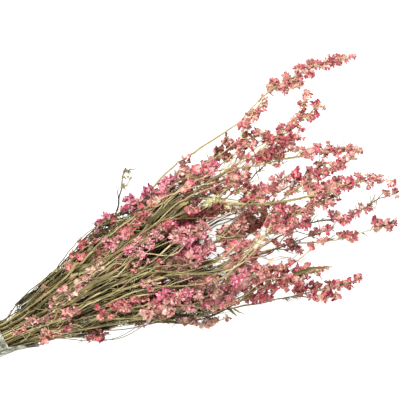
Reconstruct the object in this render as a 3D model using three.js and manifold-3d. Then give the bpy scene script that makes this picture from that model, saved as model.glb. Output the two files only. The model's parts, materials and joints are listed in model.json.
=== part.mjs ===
// Dried delphinium: a bunch of flowering stems that lies on a surface, its cut feet wound in clear film.
// Units are millimetres. X runs along the bunch from the tie to the flower tips, Y across it and Z up.
// The origin is on the flat underside of the film, below the tie.
import * as THREE from "three";
import { mergeVertices } from "three/addons/utils/BufferGeometryUtils.js";
import Module from "manifold-3d";

const wasm = await Module();
wasm.setup();

// Driving dimensions
const SEED = 7;
const STATION = 30; // spacing of the cross sections in which the stems are kept apart
const FOOT_RADIUS = 2.3; // a stem in the tie
const FOOT_PITCH = 5.05; // centre to centre in the tie, where stems pack like pencils
const FOOT_LENGTH = 112; // shortest cut foot behind the tie
const FOOT_SPARE = 22; // how much longer the longest foot is
const FOOT_SPLAY = 0.22; // share by which the feet have spread at their cut ends
const ROW_COUNTS = [5, 6, 7, 8, 7]; // stems in each layer of the tie, from the lowest up
const STEM_GAP = 1.1; // between two sprays' stems
const STRAIGHT_WITHIN = 0.3; // a ring that moves the stem by less than this is left out
const FLORET_GAP = 0.5; // least gap between a floret and another spray
const FLOOR_GAP = 0.3; // between a stem and the surface that the bunch lies on
const TIP_RADIUS = 0.6;
const STEM_TAPER = 1.5; // power of the way along a stem by which it thins
const PUSH_ROUNDS = 260; // rounds in which crossing stems are pushed apart
const PUSH_SHARE = 0.7; // of an overlap that one round takes away
const SMOOTHING = 0.12; // share of a kink that a round of the first half takes away
const PETALS = 5;
const PETAL_REACH = [0.84, 0.12]; // a petal's tip from the floret's axis, in floret radii: least, and spread
const PETAL_LIFT = [0.12, 0.2]; // and how far the tip is raised
const NOTCH_REACH = 0.56; // the notches between the petals, in floret radii
const NOTCH_LIFT = -0.12;
const CUP_LIFT = 0.08;
const FLORET_LEAN = 0.55; // how far a floret leans towards the tip, as a share of its reach
const FLORET_TAPER = 0.35; // share by which a run's florets have shrunk at its end
const FLORET_SIZE = [0.88, 0.2]; // a floret's radius in its run's radii: least, and spread
const FLORET_REACH = [0.75, 0.4]; // its distance from the stem in its run's: least, and spread
const LEAST_REACH = 0.7; // and the least distance in its own radii
const LEAST_HEIGHT = 0.55; // of a floret's middle over the surface, in its radii
const OWN_SPACING = 0.97; // florets of one spray keep this share of their radii's sum apart
const FUNNEL_RADIUS = 1.6; // of the narrow foot between a floret and its stem
const SMALLEST_DETAIL = 0.12; // what is finer than this where florets meet is smoothed away
const TRIES = 14; // places that are tried for a floret or a leaf before it is left out
const TRY_TURN = 0.37; // how far round the stem the next try is, in golden angles
const TRY_SHRINK = 0.03; // share by which each try makes the floret smaller
const LEAF_LENGTH = 26;
const LEAF_SIZE = [0.75, 0.5]; // a leaf's length in LEAF_LENGTH: least, and spread
const LEAF_RISE = [0.2, 0.26]; // how far its middle and its tip stand off the stem, in its length
const LEAF_WAVE = 0.4; // how far its edges rise and fall at most, in its width
const LEAF_FREE = 40; // length at a stem's tip in which no leaf grows
const LEAF_WIDTH = 5;
const LEAF_THICKNESS = 1;
const LEAF_PLACES = [45, 210]; // where along the bunch the leaves grow
const LEAF_ROOM = 3.1; // radius that a leaf, twisted as it is, needs round its middle line
const STEM_SIDES = 5;
const SHOOT_SIDES = 3;
const RIB_SHIFT = 0.4; // how unevenly a stem's edges stand round it, in sides
const FILM_THICKNESS = 0.8;
const FILM_GAP = 0.4; // between the film and the stems that it holds
const FILM_SIDES = 16;
const FILM_BACK = -72; // the film's rear edge
const FILM_FRONT = -4; // middle of its slanting front edge, where the stems fan out
const FILM_SLANT = 16; // how far the edge runs forward below on the -Y side, and back on the other
const FILM_LOWEST = 225; // degrees from +Y at which the front edge is farthest forward
const FILM_FLARE = 6; // how far the loose corner on the -Y side stands off the stems
const FILM_CRINKLE = 1.2; // greatest crease on its upper side
const FILM_RINGS = [0, 0.35, 0.7, 0.88, 1]; // where its rings stand, as shares of its length
const FILM_COLOUR = 0xb9bfae;
const GOLDEN_ANGLE = Math.PI * (3 - Math.sqrt(5));

// Each spray: its layer in the tie (row, from the lowest) and place in it (column, from -Y), the stem's
// radius, its route after the tie, its runs of florets and its side shoots.
// A run of florets: where it starts and ends along X, how many, how far they stand off the stem, their
// radius, and the middle and half width of the sector round the stem that they face (0 is +Y, 90 is up).
// A shoot: the station it leaves the stem at, its radius, its route and its runs of florets.
// A leaf that isn't left to chance: the X of its root, its direction round the stem and its length.
const ALL_ROUND = [90, 180];
const UPWARD = [90, 75];

const SPRAYS = [
  {
    name: "spray_top_01",
    row: 4, column: 0, radius: 1.5, colour: "blush",
    route: [[100, -29, 40], [200, -44, 55], [290, -57, 68], [338, -61, 68]],
    florets: [[286, 336, 7, 9, 10, ALL_ROUND]],
  },
  {
    name: "spray_top_02",
    row: 4, column: 1, radius: 1.5, colour: "rose",
    route: [
      [85, -12, 42], [140, -13, 56], [180, -17, 68], [220, -17, 78], [260, -25, 88], [300, -27, 92],
      [340, -27, 92], [375, -18, 90], [430, -15, 82], [470, -16, 76],
    ],
    florets: [[362, 468, 12, 9, 10, ALL_ROUND]],
    shoots: [
      {
        station: 12, radius: 0.9,
        route: [[385, -30, 80], [428, -25, 76]],
        florets: [[378, 426, 4, 6, 9.5, UPWARD]],
      },
    ],
  },
  {
    name: "spray_top_03",
    row: 4, column: 2, radius: 1.5, colour: "rose",
    route: [
      [50, -11, 34], [80, -12, 46], [100, -5, 53], [130, -2, 60], [205, -4, 82], [240, -24, 94],
      [280, -40, 101], [300, -44, 103], [330, -38, 103], [355, -25, 102], [375, -6, 96], [402, 3, 90],
    ],
    florets: [[74, 96, 2, 8, 8, UPWARD], [366, 400, 6, 8, 10, ALL_ROUND]],
  },
  {
    name: "spray_top_04",
    row: 4, column: 3, radius: 2.0, colour: "pink",
    route: [
      [36, 1, 30], [62, 2, 40], [100, 9, 53], [125, 13, 60], [150, 13, 66], [180, 6, 74], [210, 8, 82],
      [250, 18, 90], [297, 21, 90],
    ],
    florets: [[4, 64, 2, 6, 7.5, UPWARD], [248, 295, 7, 9, 10, ALL_ROUND]],
  },
  {
    name: "spray_top_05",
    row: 4, column: 4, radius: 1.3, colour: "blush",
    route: [[60, 9, 44], [100, 19, 60], [152, 27, 74]],
    florets: [[84, 150, 8, 7, 8.5, UPWARD]],
  },
  {
    name: "spray_top_06",
    row: 4, column: 5, radius: 1.5, colour: "crimson",
    route: [
      [60, 18, 34], [100, 28, 44], [150, 31, 62], [195, 41, 78], [235, 54, 90], [262, 69, 94], [290, 78, 92],
      [330, 78, 88], [365, 74, 86], [400, 79, 80], [440, 85, 72], [465, 93, 66], [498, 100, 60],
    ],
    florets: [[404, 498, 12, 8, 9.5, ALL_ROUND]],
    shoots: [
      {
        station: 15, radius: 0.8,
        route: [[468, 110, 70], [488, 119, 68]],
        florets: [[464, 487, 2, 4, 8, ALL_ROUND]],
      },
    ],
  },
  {
    name: "spray_top_07",
    row: 4, column: 6, radius: 1.6, colour: "rose",
    route: [
      [50, 23, 40], [100, 36, 50], [150, 55, 56], [200, 71, 56], [238, 88, 48], [255, 97, 44], [280, 106, 38],
      [310, 111, 33], [350, 119, 26], [388, 124, 20], [425, 139, 15], [450, 146, 12], [480, 148, 11],
      [515, 150, 11], [545, 146, 11], [568, 138, 11],
    ],
    florets: [[446, 566, 13, 8, 10, ALL_ROUND]],
    shoots: [
      {
        station: 15, radius: 0.7,
        route: [[470, 135, 16], [486, 133, 18]],
        florets: [[468, 485, 3, 3, 3.2, ALL_ROUND]],
      },
    ],
  },
  {
    name: "spray_upper_01",
    row: 3, column: 0, radius: 1.4, colour: "blush",
    route: [[60, -28, 30], [100, -37, 34], [150, -45, 46], [208, -57, 56]],
    florets: [[166, 206, 6, 9, 10, UPWARD]],
  },
  {
    name: "spray_upper_02",
    row: 3, column: 1, radius: 1.3, colour: "crimson",
    route: [[30, -20, 26], [75, -23, 38], [115, -29, 51], [150, -30, 59], [188, -29, 66]],
    florets: [[28, 80, 5, 6, 7.5, [140, 75]], [114, 186, 9, 8, 9.5, UPWARD]],
  },
  {
    name: "spray_upper_03",
    row: 3, column: 2, radius: 1.4, colour: "pink",
    route: [[100, -22, 36], [150, -34, 54], [200, -44, 72], [268, -46, 76]],
    florets: [[198, 266, 9, 9, 10, UPWARD]],
  },
  {
    name: "spray_upper_04",
    row: 3, column: 3, radius: 1.5, colour: "pink",
    route: [[60, -4, 30], [100, -6, 42], [200, -10, 62], [240, -9, 68], [292, -7, 72]],
    florets: [[186, 214, 3, 9, 9.5, UPWARD], [236, 290, 8, 9, 10, ALL_ROUND]],
  },
  {
    name: "spray_upper_05",
    row: 3, column: 4, radius: 1.5, colour: "pink",
    route: [[60, 8, 34], [110, 16, 56], [150, 20, 72], [190, 27, 86], [215, 34, 94], [242, 42, 98]],
    florets: [[184, 240, 10, 9, 10, ALL_ROUND]],
  },
  {
    name: "spray_upper_06",
    row: 3, column: 5, radius: 1.5, colour: "rose",
    route: [
      [100, 20, 38], [150, 27, 56], [210, 39, 74], [250, 51, 88], [280, 60, 97], [310, 68, 98], [345, 71, 98],
      [375, 66, 94], [400, 60, 88], [430, 54, 80], [450, 49, 74], [470, 45, 70], [495, 40, 64], [520, 20, 56],
    ],
    leaves: [[262, 100, 26]],
    florets: [[438, 516, 11, 7, 9.5, ALL_ROUND]],
  },
  {
    name: "spray_upper_07",
    row: 3, column: 6, radius: 1.5, colour: "crimson",
    route: [[60, 26, 34], [100, 36, 40], [150, 46, 52], [170, 50, 58], [190, 55, 62], [232, 64, 64]],
    florets: [[134, 230, 12, 8, 9.5, UPWARD]],
  },
  {
    name: "spray_upper_08",
    row: 3, column: 7, radius: 1.1, colour: "magenta",
    route: [
      [30, 34, 18], [60, 43, 22], [100, 53, 32], [130, 66, 42], [165, 80, 52], [190, 82, 58], [242, 85, 66],
      [265, 88, 68], [285, 96, 68], [312, 109, 64],
    ],
    florets: [[158, 190, 2, 4, 8, ALL_ROUND], [206, 310, 10, 7, 10, ALL_ROUND]],
  },
  {
    name: "spray_middle_01",
    row: 2, column: 0, radius: 1.1, colour: "dark",
    route: [[50, -30, 12], [90, -47, 14], [116, -55, 15]],
    florets: [[86, 114, 3, 6, 8.5, ALL_ROUND]],
  },
  {
    name: "spray_middle_02",
    row: 2, column: 1, radius: 1.6, colour: "pink",
    route: [[100, -34, 24], [180, -52, 38], [240, -66, 50], [300, -74, 50]],
    florets: [[236, 298, 10, 10, 10, ALL_ROUND]],
  },
  {
    name: "spray_middle_03",
    row: 2, column: 2, radius: 1.4, colour: "coral",
    route: [[100, -2, 26], [200, 2, 42], [280, -3, 54], [305, -4, 58], [337, 4, 64], [374, 12, 62]],
    florets: [[298, 372, 7, 8, 9.5, ALL_ROUND]],
  },
  {
    name: "spray_middle_04",
    row: 2, column: 3, radius: 2.3, colour: "rose",
    route: [
      [50, 8, 26], [100, 27, 38], [150, 42, 54], [205, 54, 70], [230, 60, 76], [260, 65, 80], [290, 61, 88],
      [320, 44, 96], [350, 25, 98], [400, 5, 94], [450, -3, 88], [500, -12, 80], [548, -34, 70],
    ],
    florets: [[426, 536, 12, 9, 10, ALL_ROUND]],
    shoots: [
      {
        station: 13, radius: 0.9,
        route: [[430, 16, 92], [478, 20, 86], [508, 17, 82]],
        florets: [[424, 504, 6, 5, 9.5, ALL_ROUND]],
      },
    ],
  },
  {
    name: "spray_middle_05",
    row: 2, column: 4, radius: 1.5, colour: "crimson",
    route: [[100, 16, 28], [200, 28, 46], [255, 38, 60], [300, 40, 62], [330, 36, 62]],
    florets: [[244, 328, 11, 9, 10, ALL_ROUND]],
  },
  {
    name: "spray_middle_06",
    row: 2, column: 5, radius: 1.2, colour: "rose",
    route: [
      [100, 30, 28], [200, 48, 46], [300, 60, 66], [350, 76, 74], [375, 98, 72], [392, 114, 66],
      [410, 128, 60], [436, 138, 54],
    ],
    florets: [[386, 434, 6, 6, 10, ALL_ROUND]],
  },
  {
    name: "spray_seed_head",
    row: 2, column: 6, radius: 0.9, colour: "husk",
    route: [[100, 44, 22], [150, 62, 30], [190, 76, 34], [200, 92, 36], [212, 109, 36], [232, 131, 36]],
    florets: [[204, 231, 9, 5, 3.6, ALL_ROUND]],
  },
  {
    name: "spray_lower_01",
    row: 1, column: 0, radius: 1.2, colour: "blush",
    route: [[60, -28, 9], [130, -48, 12], [180, -68, 16], [215, -86, 20], [240, -97, 20], [270, -103, 18]],
    florets: [[204, 250, 4, 6, 8.5, ALL_ROUND], [252, 270, 3, 3, 3, ALL_ROUND]],
  },
  {
    name: "spray_lower_02",
    row: 1, column: 1, radius: 1.7, colour: "crimson",
    route: [
      [100, -31, 14], [200, -62, 28], [260, -80, 36], [305, -90, 38], [350, -87, 40],
      [380, -91, 40], [410, -99, 38],
    ],
    leaves: [[352, 60, 74], [262, 250, 24]],
    florets: [[300, 408, 15, 10, 10, ALL_ROUND]],
  },
  {
    name: "spray_lower_03",
    row: 1, column: 2, radius: 1.2, colour: "rose",
    route: [
      [100, -14, 12], [200, -26, 28], [300, -36, 44], [360, -35, 54], [410, -32, 58], [450, -44, 58],
      [480, -47, 57], [500, -46, 56], [520, -42, 56], [540, -46, 56],
    ],
    florets: [[440, 500, 5, 4, 8, ALL_ROUND], [516, 538, 2, 3, 7.5, ALL_ROUND]],
    shoots: [
      {
        station: 10, radius: 0.8,
        route: [[350, -45, 48], [400, -49, 50], [444, -53, 50]],
        florets: [[408, 442, 2, 4, 7.5, ALL_ROUND]],
      },
    ],
  },
  {
    name: "spray_lower_04",
    row: 1, column: 3, radius: 1.5, colour: "crimson",
    route: [
      [100, 6, 14], [200, 10, 34], [300, 14, 54], [350, 14, 66], [400, 21, 72], [435, 23, 74],
      [470, 30, 72],
    ],
    florets: [[418, 468, 6, 8, 9.5, ALL_ROUND]],
  },
  {
    name: "spray_lower_05",
    row: 1, column: 4, radius: 1.3, colour: "rose",
    route: [[100, 12, 14], [200, 17, 32], [300, 24, 50], [350, 31, 60], [385, 29, 64], [428, 36, 66]],
    florets: [[344, 426, 9, 8, 9.5, ALL_ROUND]],
  },
  {
    name: "spray_lower_06",
    row: 1, column: 5, radius: 1.4, colour: "rose",
    route: [
      [100, 26, 14], [200, 36, 28], [300, 40, 42], [350, 45, 52], [400, 61, 60], [425, 70, 62],
      [454, 79, 62],
    ],
    florets: [[396, 452, 9, 9, 10, ALL_ROUND]],
  },
  {
    name: "spray_ground_01",
    row: 0, column: 0, radius: 1.5, colour: "crimson",
    route: [
      [100, -38, 4], [200, -72, 7], [270, -92, 10], [310, -102, 11], [350, -112, 12], [375, -117, 12],
      [410, -124, 12], [450, -131, 12],
    ],
    florets: [[362, 448, 9, 7, 10, ALL_ROUND]],
    shoots: [
      {
        station: 12, radius: 0.8,
        route: [[378, -127, 12], [416, -138, 12]],
        florets: [[372, 414, 3, 4, 9.5, ALL_ROUND]],
      },
    ],
  },
  {
    name: "spray_ground_02",
    row: 0, column: 1, radius: 1.3, colour: "rose",
    route: [
      [100, -20, 5], [200, -34, 14], [300, -42, 24], [375, -47, 34], [420, -63, 38], [450, -71, 40],
      [480, -75, 41], [522, -81, 42],
    ],
    florets: [[442, 466, 3, 7, 8.5, ALL_ROUND], [492, 520, 5, 6, 9.5, ALL_ROUND]],
    shoots: [
      {
        station: 12, radius: 0.8,
        route: [[375, -55, 34], [393, -60, 34]],
        florets: [[376, 392, 2, 4, 8.5, ALL_ROUND]],
      },
    ],
  },
  {
    name: "spray_ground_03",
    row: 0, column: 2, radius: 1.5, colour: "dark",
    route: [[100, 0, 5], [200, -4, 16], [300, -6, 24], [396, -2, 28]],
    florets: [[300, 394, 11, 10, 10, ALL_ROUND]],
  },
  {
    name: "spray_ground_04",
    row: 0, column: 3, radius: 1.5, colour: "crimson",
    route: [[100, 14, 5], [200, 26, 12], [300, 32, 18], [330, 33, 20]],
    florets: [[214, 326, 13, 10, 10, ALL_ROUND]],
  },
  {
    name: "spray_ground_05",
    row: 0, column: 4, radius: 1.9, colour: "dark",
    route: [
      [100, 32, 8], [200, 60, 22], [260, 74, 34], [300, 83, 42], [335, 92, 46], [370, 98, 46],
      [414, 97, 46],
    ],
    florets: [[290, 412, 17, 9, 10, ALL_ROUND]],
    shoots: [
      {
        station: 11, radius: 0.8,
        route: [[350, 104, 52], [370, 113, 54]],
        florets: [[344, 369, 2, 4, 8.5, ALL_ROUND]],
      },
    ],
  },
];

const COLOURS = {
  rose: 0xc9626f,
  pink: 0xdd7d8c,
  blush: 0xe6a49f,
  coral: 0xd67a6b,
  crimson: 0xb2434f,
  magenta: 0xbb3f6a,
  dark: 0x8e2f3b,
  husk: 0x9b9267,
};

// A repeatable random number from 0 to 1 for a list of whole-number keys
function random(...keys) {
  let hash = SEED;
  for (const key of keys) {
    hash = Math.imul(hash ^ (key + 0x9e3779b9), 0x85ebca6b);
    hash ^= hash >>> 13;
    hash = Math.imul(hash, 0xc2b2ae35);
    hash ^= hash >>> 16;
  }
  return (hash >>> 0) / 2 ** 32;
}

// Stems: a route through hand-placed points, sampled at the stations

function slopeAt(points, index, axis) {
  const before = points[Math.max(index - 1, 0)];
  const after = points[Math.min(index + 1, points.length - 1)];
  return (after[axis] - before[axis]) / (after[0] - before[0]);
}

// Y and Z of a route at X, on a cubic between its points and straight on beyond them
function routeAt(points, x) {
  const last = points.length - 1;
  if (x >= points[last][0]) {
    const run = x - points[last][0];
    return [1, 2].map((axis) => points[last][axis] + slopeAt(points, last, axis) * run);
  }
  let index = 0;
  while (points[index + 1][0] < x) index += 1;
  const span = points[index + 1][0] - points[index][0];
  const t = (x - points[index][0]) / span;
  return [1, 2].map((axis) => {
    const start = points[index][axis];
    const end = points[index + 1][axis];
    const leave = slopeAt(points, index, axis) * span;
    const arrive = slopeAt(points, index + 1, axis) * span;
    return (
      start * (2 * t ** 3 - 3 * t ** 2 + 1) +
      leave * (t ** 3 - 2 * t ** 2 + t) +
      end * (3 * t ** 2 - 2 * t ** 3) +
      arrive * (t ** 3 - t ** 2)
    );
  });
}

// Where a spray stands in the tie
function footPlace(spray) {
  const count = ROW_COUNTS[spray.row];
  return [
    (spray.column - (count - 1) / 2) * FOOT_PITCH,
    FILM_THICKNESS + FILM_GAP + FOOT_RADIUS + spray.row * FOOT_PITCH * Math.sqrt(0.75),
  ];
}

function makeStem(spray, index, shoot, parent) {
  const source = shoot ?? spray;
  const first = shoot ? shoot.station : 0;
  const start = parent ? parent.places[first - parent.first] : footPlace(spray);
  const points = [[first * STATION, ...start], ...source.route];
  const end = points[points.length - 1][0];
  const count = Math.ceil(end / STATION) - first + 1;
  const wanted = Array.from({ length: count }, (_, step) => routeAt(points, (first + step) * STATION));
  return {
    spray: index,
    parent,
    first,
    end,
    radius: source.radius,
    florets: source.florets,
    wanted,
    places: wanted.map((place) => [...place]),
  };
}

// A stem is thick in the tie, at its full size one station on, and thin at its tip
function radiusAt(stem, x) {
  const start = stem.first * STATION;
  const along = Math.max(0, (x - start) / (stem.end - start));
  const slim = stem.radius + (TIP_RADIUS - stem.radius) * along ** STEM_TAPER;
  if (stem.parent) return slim;
  const fromTie = Math.min(1, Math.max(0, x / STATION));
  return FOOT_RADIUS + (slim - FOOT_RADIUS) * fromTie;
}

// Moves stems sideways until no two sprays' stems come closer than STEM_GAP between their stations
function keepApart(stems) {
  const lastStation = Math.max(...stems.map((stem) => stem.first + stem.places.length - 1));
  for (let round = 0; round < PUSH_ROUNDS; round += 1) {
    const pushes = stems.map((stem) => stem.places.map(() => [0, 0]));
    for (let station = 0; station < lastStation; station += 1) {
      const here = stems.flatMap((stem, index) =>
        station >= stem.first && station + 1 < stem.first + stem.places.length ? [index] : [],
      );
      here.forEach((a, order) => {
        for (const b of here.slice(order + 1)) {
          if (stems[a].spray !== stems[b].spray) pushPair(stems[a], stems[b], pushes[a], pushes[b], station);
        }
      });
    }
    stems.forEach((stem, index) => movePlaces(stem, pushes[index], round));
  }
}

function pushPair(one, two, pushOne, pushTwo, station) {
  const a = station - one.first;
  const b = station - two.first;
  const near = [two.places[b][0] - one.places[a][0], two.places[b][1] - one.places[a][1]];
  const far = [two.places[b + 1][0] - one.places[a + 1][0], two.places[b + 1][1] - one.places[a + 1][1]];
  const turn = [far[0] - near[0], far[1] - near[1]];
  const length = turn[0] ** 2 + turn[1] ** 2;
  const t = length > 0 ? Math.min(1, Math.max(0, -(near[0] * turn[0] + near[1] * turn[1]) / length)) : 0;
  const apart = [near[0] + turn[0] * t, near[1] + turn[1] * t];
  const distance = Math.hypot(apart[0], apart[1]);
  const x = (station + t) * STATION;
  const wanted = radiusAt(one, x) + radiusAt(two, x) + STEM_GAP;
  if (distance >= wanted) return;
  const away = distance > 0.01 ? [apart[0] / distance, apart[1] / distance] : [0, 1];
  const shares = [1 - t, t].map((share) => share / ((1 - t) ** 2 + t ** 2));
  shares.forEach((share, step) => {
    away.forEach((direction, axis) => {
      const move = (direction * share * (wanted - distance) * PUSH_SHARE) / 2;
      pushOne[a + step][axis] -= move;
      pushTwo[b + step][axis] += move;
    });
  });
}

function movePlaces(stem, pushes, round) {
  const smooth = round < PUSH_ROUNDS / 2 ? SMOOTHING : 0;
  const offsets = stem.places.map((place, k) => place.map((value, axis) => value - stem.wanted[k][axis]));
  stem.places.forEach((place, k) => {
    if (k === 0) {
      if (stem.parent) stem.places[0] = [...stem.parent.places[stem.first - stem.parent.first]];
      return;
    }
    const next = offsets[Math.min(k + 1, offsets.length - 1)];
    place.forEach((_, axis) => {
      const bend = offsets[k - 1][axis] - 2 * offsets[k][axis] + next[axis];
      place[axis] += pushes[k][axis] + smooth * bend;
    });
    const x = (stem.first + k) * STATION;
    const low = x <= STATION ? FILM_THICKNESS + FILM_GAP : FLOOR_GAP;
    place[1] = Math.max(place[1], low + radiusAt(stem, x));
  });
}

// A point on a stem's axis
function axisAt(stem, x) {
  if (x < 0) {
    const [y, z] = stem.places[0];
    const spread = 1 - (FOOT_SPLAY * x) / FOOT_LENGTH;
    const lowest = FILM_THICKNESS + FILM_GAP + FOOT_RADIUS;
    return new THREE.Vector3(x, y * spread, lowest + (z - lowest) * spread);
  }
  const k = Math.min(Math.floor(x / STATION) - stem.first, stem.places.length - 2);
  const t = x / STATION - stem.first - k;
  const [near, far] = [stem.places[k], stem.places[k + 1]];
  return new THREE.Vector3(x, near[0] + (far[0] - near[0]) * t, near[1] + (far[1] - near[1]) * t);
}

// The X of each ring of a stem, from its cut foot or its parent to its tip, with rings only where it bends
function ringPlaces(stem) {
  const xs = [];
  for (let x = stem.first * STATION; x < stem.end - STATION / 4; x += STATION) xs.push(x);
  xs.push(stem.end);
  const kept = [xs[0]];
  for (let index = 1; index < xs.length - 1; index += 1) {
    const start = kept[kept.length - 1];
    const skipped = xs.filter((x) => x > start && x <= xs[index]);
    if (xs[index] === STATION || !isStraight(stem, start, xs[index + 1], skipped)) kept.push(xs[index]);
  }
  kept.push(stem.end);
  if (!stem.parent) {
    const foot = FOOT_LENGTH + FOOT_SPARE * random(stem.spray, 1);
    kept.unshift(-foot);
  }
  return kept;
}

function isStraight(stem, start, end, between) {
  const near = axisAt(stem, start);
  const far = axisAt(stem, end);
  return between.every((x) => {
    const chord = near.clone().lerp(far, (x - start) / (end - start));
    return chord.distanceTo(axisAt(stem, x)) < STRAIGHT_WITHIN;
  });
}

// Closed solids from rings and points

function solidOf(vertices, faces) {
  const geometry = new THREE.BufferGeometry().setFromPoints(vertices);
  geometry.setIndex(faces.flat());
  const merged = mergeVertices(geometry, 1e-4);
  return new wasm.Manifold(
    new wasm.Mesh({
      numProp: 3,
      vertProperties: new Float32Array(merged.attributes.position.array),
      triVerts: new Uint32Array(merged.index.array),
    }),
  );
}

// A tube through rings of equal count, each ring anticlockwise as seen from the tube's far end
function loft(rings) {
  const sides = rings[0].length;
  const faces = [];
  for (let ring = 0; ring < rings.length - 1; ring += 1) {
    for (let side = 0; side < sides; side += 1) {
      const a = ring * sides + side;
      const b = ring * sides + ((side + 1) % sides);
      faces.push([a, b, b + sides], [a, b + sides, a + sides]);
    }
  }
  const top = (rings.length - 1) * sides;
  for (let side = 1; side < sides - 1; side += 1) {
    faces.push([0, side + 1, side], [top, top + side, top + side + 1]);
  }
  return solidOf(rings.flat(), faces);
}

function stemSolid(stem) {
  const sides = stem.parent ? SHOOT_SIDES : STEM_SIDES;
  const turn = random(stem.spray, 2) * Math.PI;
  const angles = Array.from(
    { length: sides },
    (_, side) => turn + (2 * Math.PI * (side + RIB_SHIFT * random(stem.spray, 2, side))) / sides,
  );
  const rings = ringPlaces(stem).map((x) => {
    const middle = axisAt(stem, x);
    const radius = radiusAt(stem, x);
    return angles.map((angle) =>
      new THREE.Vector3(0, radius * Math.cos(angle), radius * Math.sin(angle)).add(middle),
    );
  });
  return loft(rings);
}

// Florets: a funnel from the stem's axis out to five crumpled petals round a cup

function floretSolid(floret) {
  const { root, centre, radius, keys } = floret;
  const out = new THREE.Vector3().subVectors(centre, root).normalize();
  const side = new THREE.Vector3(0, 0, 1).cross(out);
  if (side.length() < 0.1) side.set(0, 1, 0).cross(out);
  side.normalize();
  const up = new THREE.Vector3().crossVectors(out, side);
  const point = (angle, wide, deep) =>
    centre
      .clone()
      .addScaledVector(side, Math.cos(angle) * wide * radius)
      .addScaledVector(up, Math.sin(angle) * wide * radius)
      .addScaledVector(out, deep * radius);
  const turn = random(...keys, 3) * 2 * Math.PI;
  const vertices = [root, point(0, 0, CUP_LIFT)];
  const faces = [];
  for (let petal = 0; petal < PETALS; petal += 1) {
    const angle = turn + (2 * Math.PI * petal) / PETALS;
    const reach = PETAL_REACH[0] + PETAL_REACH[1] * random(...keys, 4, petal);
    const lift = PETAL_LIFT[0] + PETAL_LIFT[1] * random(...keys, 5, petal);
    vertices.push(point(angle, reach, lift), point(angle + Math.PI / PETALS, NOTCH_REACH, NOTCH_LIFT));
    const tip = 2 + 2 * petal;
    const notch = tip + 1;
    const before = 3 + 2 * ((petal + PETALS - 1) % PETALS);
    faces.push([1, tip, notch], [1, before, tip], [tip, before, notch], [0, notch, before]);
  }
  return solidOf(vertices, faces);
}

const CROWD = []; // balls and rods that other sprays must keep clear of: { spray, start, end, radius }

function addRod(spray, start, end, radius) {
  CROWD.push({ spray, line: new THREE.Line3(start, end), radius });
}

// Least distance between two segments, one of which may be a point
function lineDistance(one, two) {
  const steps = Math.max(1, Math.ceil(one.distance() / 2));
  let least = Infinity;
  for (let step = 0; step <= steps; step += 1) {
    const place = one.at(step / steps, new THREE.Vector3());
    least = Math.min(least, place.distanceTo(two.closestPointToPoint(place, true, new THREE.Vector3())));
  }
  return least;
}

function isClear(spray, start, end, radius) {
  const line = new THREE.Line3(start, end);
  return CROWD.every(
    (rod) => rod.spray === spray || lineDistance(line, rod.line) >= radius + rod.radius + FLORET_GAP,
  );
}

// Florets of one spray overlap only at their petal tips
function isSpaced(spray, centre, radius) {
  return florets[spray].every(
    (other) => centre.distanceTo(other.centre) >= OWN_SPACING * (radius + other.radius),
  );
}

function placeFloret(stem, run, number, keys) {
  const [from, to, count, reach, radius, [middle, halfWidth]] = run;
  const share = (number + 0.5) / count;
  const taper = 1 - FLORET_TAPER * share ** 2;
  const x = Math.min(from + (to - from) * share, stem.end - 1);
  const root = axisAt(stem, x);
  for (let attempt = 0; attempt < TRIES; attempt += 1) {
    const sector = THREE.MathUtils.degToRad(halfWidth);
    const golden = (number + attempt * TRY_TURN) * GOLDEN_ANGLE + random(...keys, 6) * 2;
    const swing = ((golden / Math.PI) % 2) - 1;
    const angle = THREE.MathUtils.degToRad(middle) + swing * sector;
    const size = FLORET_SIZE[0] + FLORET_SIZE[1] * random(...keys, 7);
    const ball = radius * taper * size * (1 - TRY_SHRINK * attempt);
    const far = FLORET_REACH[0] + FLORET_REACH[1] * random(...keys, 8, attempt);
    const off = Math.max(reach * taper * far, ball * LEAST_REACH);
    const centre = new THREE.Vector3(
      root.x + FLORET_LEAN * off,
      root.y + off * Math.cos(angle),
      root.z + off * Math.sin(angle),
    );
    const fits =
      centre.z > ball * LEAST_HEIGHT &&
      isSpaced(stem.spray, centre, ball) &&
      isClear(stem.spray, centre, centre, ball) &&
      isClear(stem.spray, root, centre, FUNNEL_RADIUS);
    if (fits) return { root, centre, radius: ball, keys };
  }
  return null;
}

// Builds the stems, then the florets of the topmost sprays first, since they take what room they need

const stems = [];
SPRAYS.forEach((spray, index) => {
  const main = makeStem(spray, index);
  stems.push(main);
  for (const shoot of spray.shoots ?? []) stems.push(makeStem(spray, index, shoot, main));
});
keepApart(stems);

for (const stem of stems) {
  const xs = ringPlaces(stem);
  for (let ring = 0; ring < xs.length - 1; ring += 1) {
    const radius = Math.max(radiusAt(stem, xs[ring]), radiusAt(stem, xs[ring + 1]));
    addRod(stem.spray, axisAt(stem, xs[ring]), axisAt(stem, xs[ring + 1]), radius);
  }
}

const florets = SPRAYS.map(() => []);
stems.forEach((stem, stemIndex) => {
  stem.florets.forEach((run, runIndex) => {
    for (let number = 0; number < run[2]; number += 1) {
      const floret = placeFloret(stem, run, number, [stemIndex, runIndex, number]);
      if (!floret) continue;
      florets[stem.spray].push(floret);
      addRod(stem.spray, floret.centre, floret.centre, floret.radius);
      addRod(stem.spray, floret.root, floret.centre, FUNNEL_RADIUS);
    }
  });
});

// Leaves: narrow, dry and twisted, one or two on a stem

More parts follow.
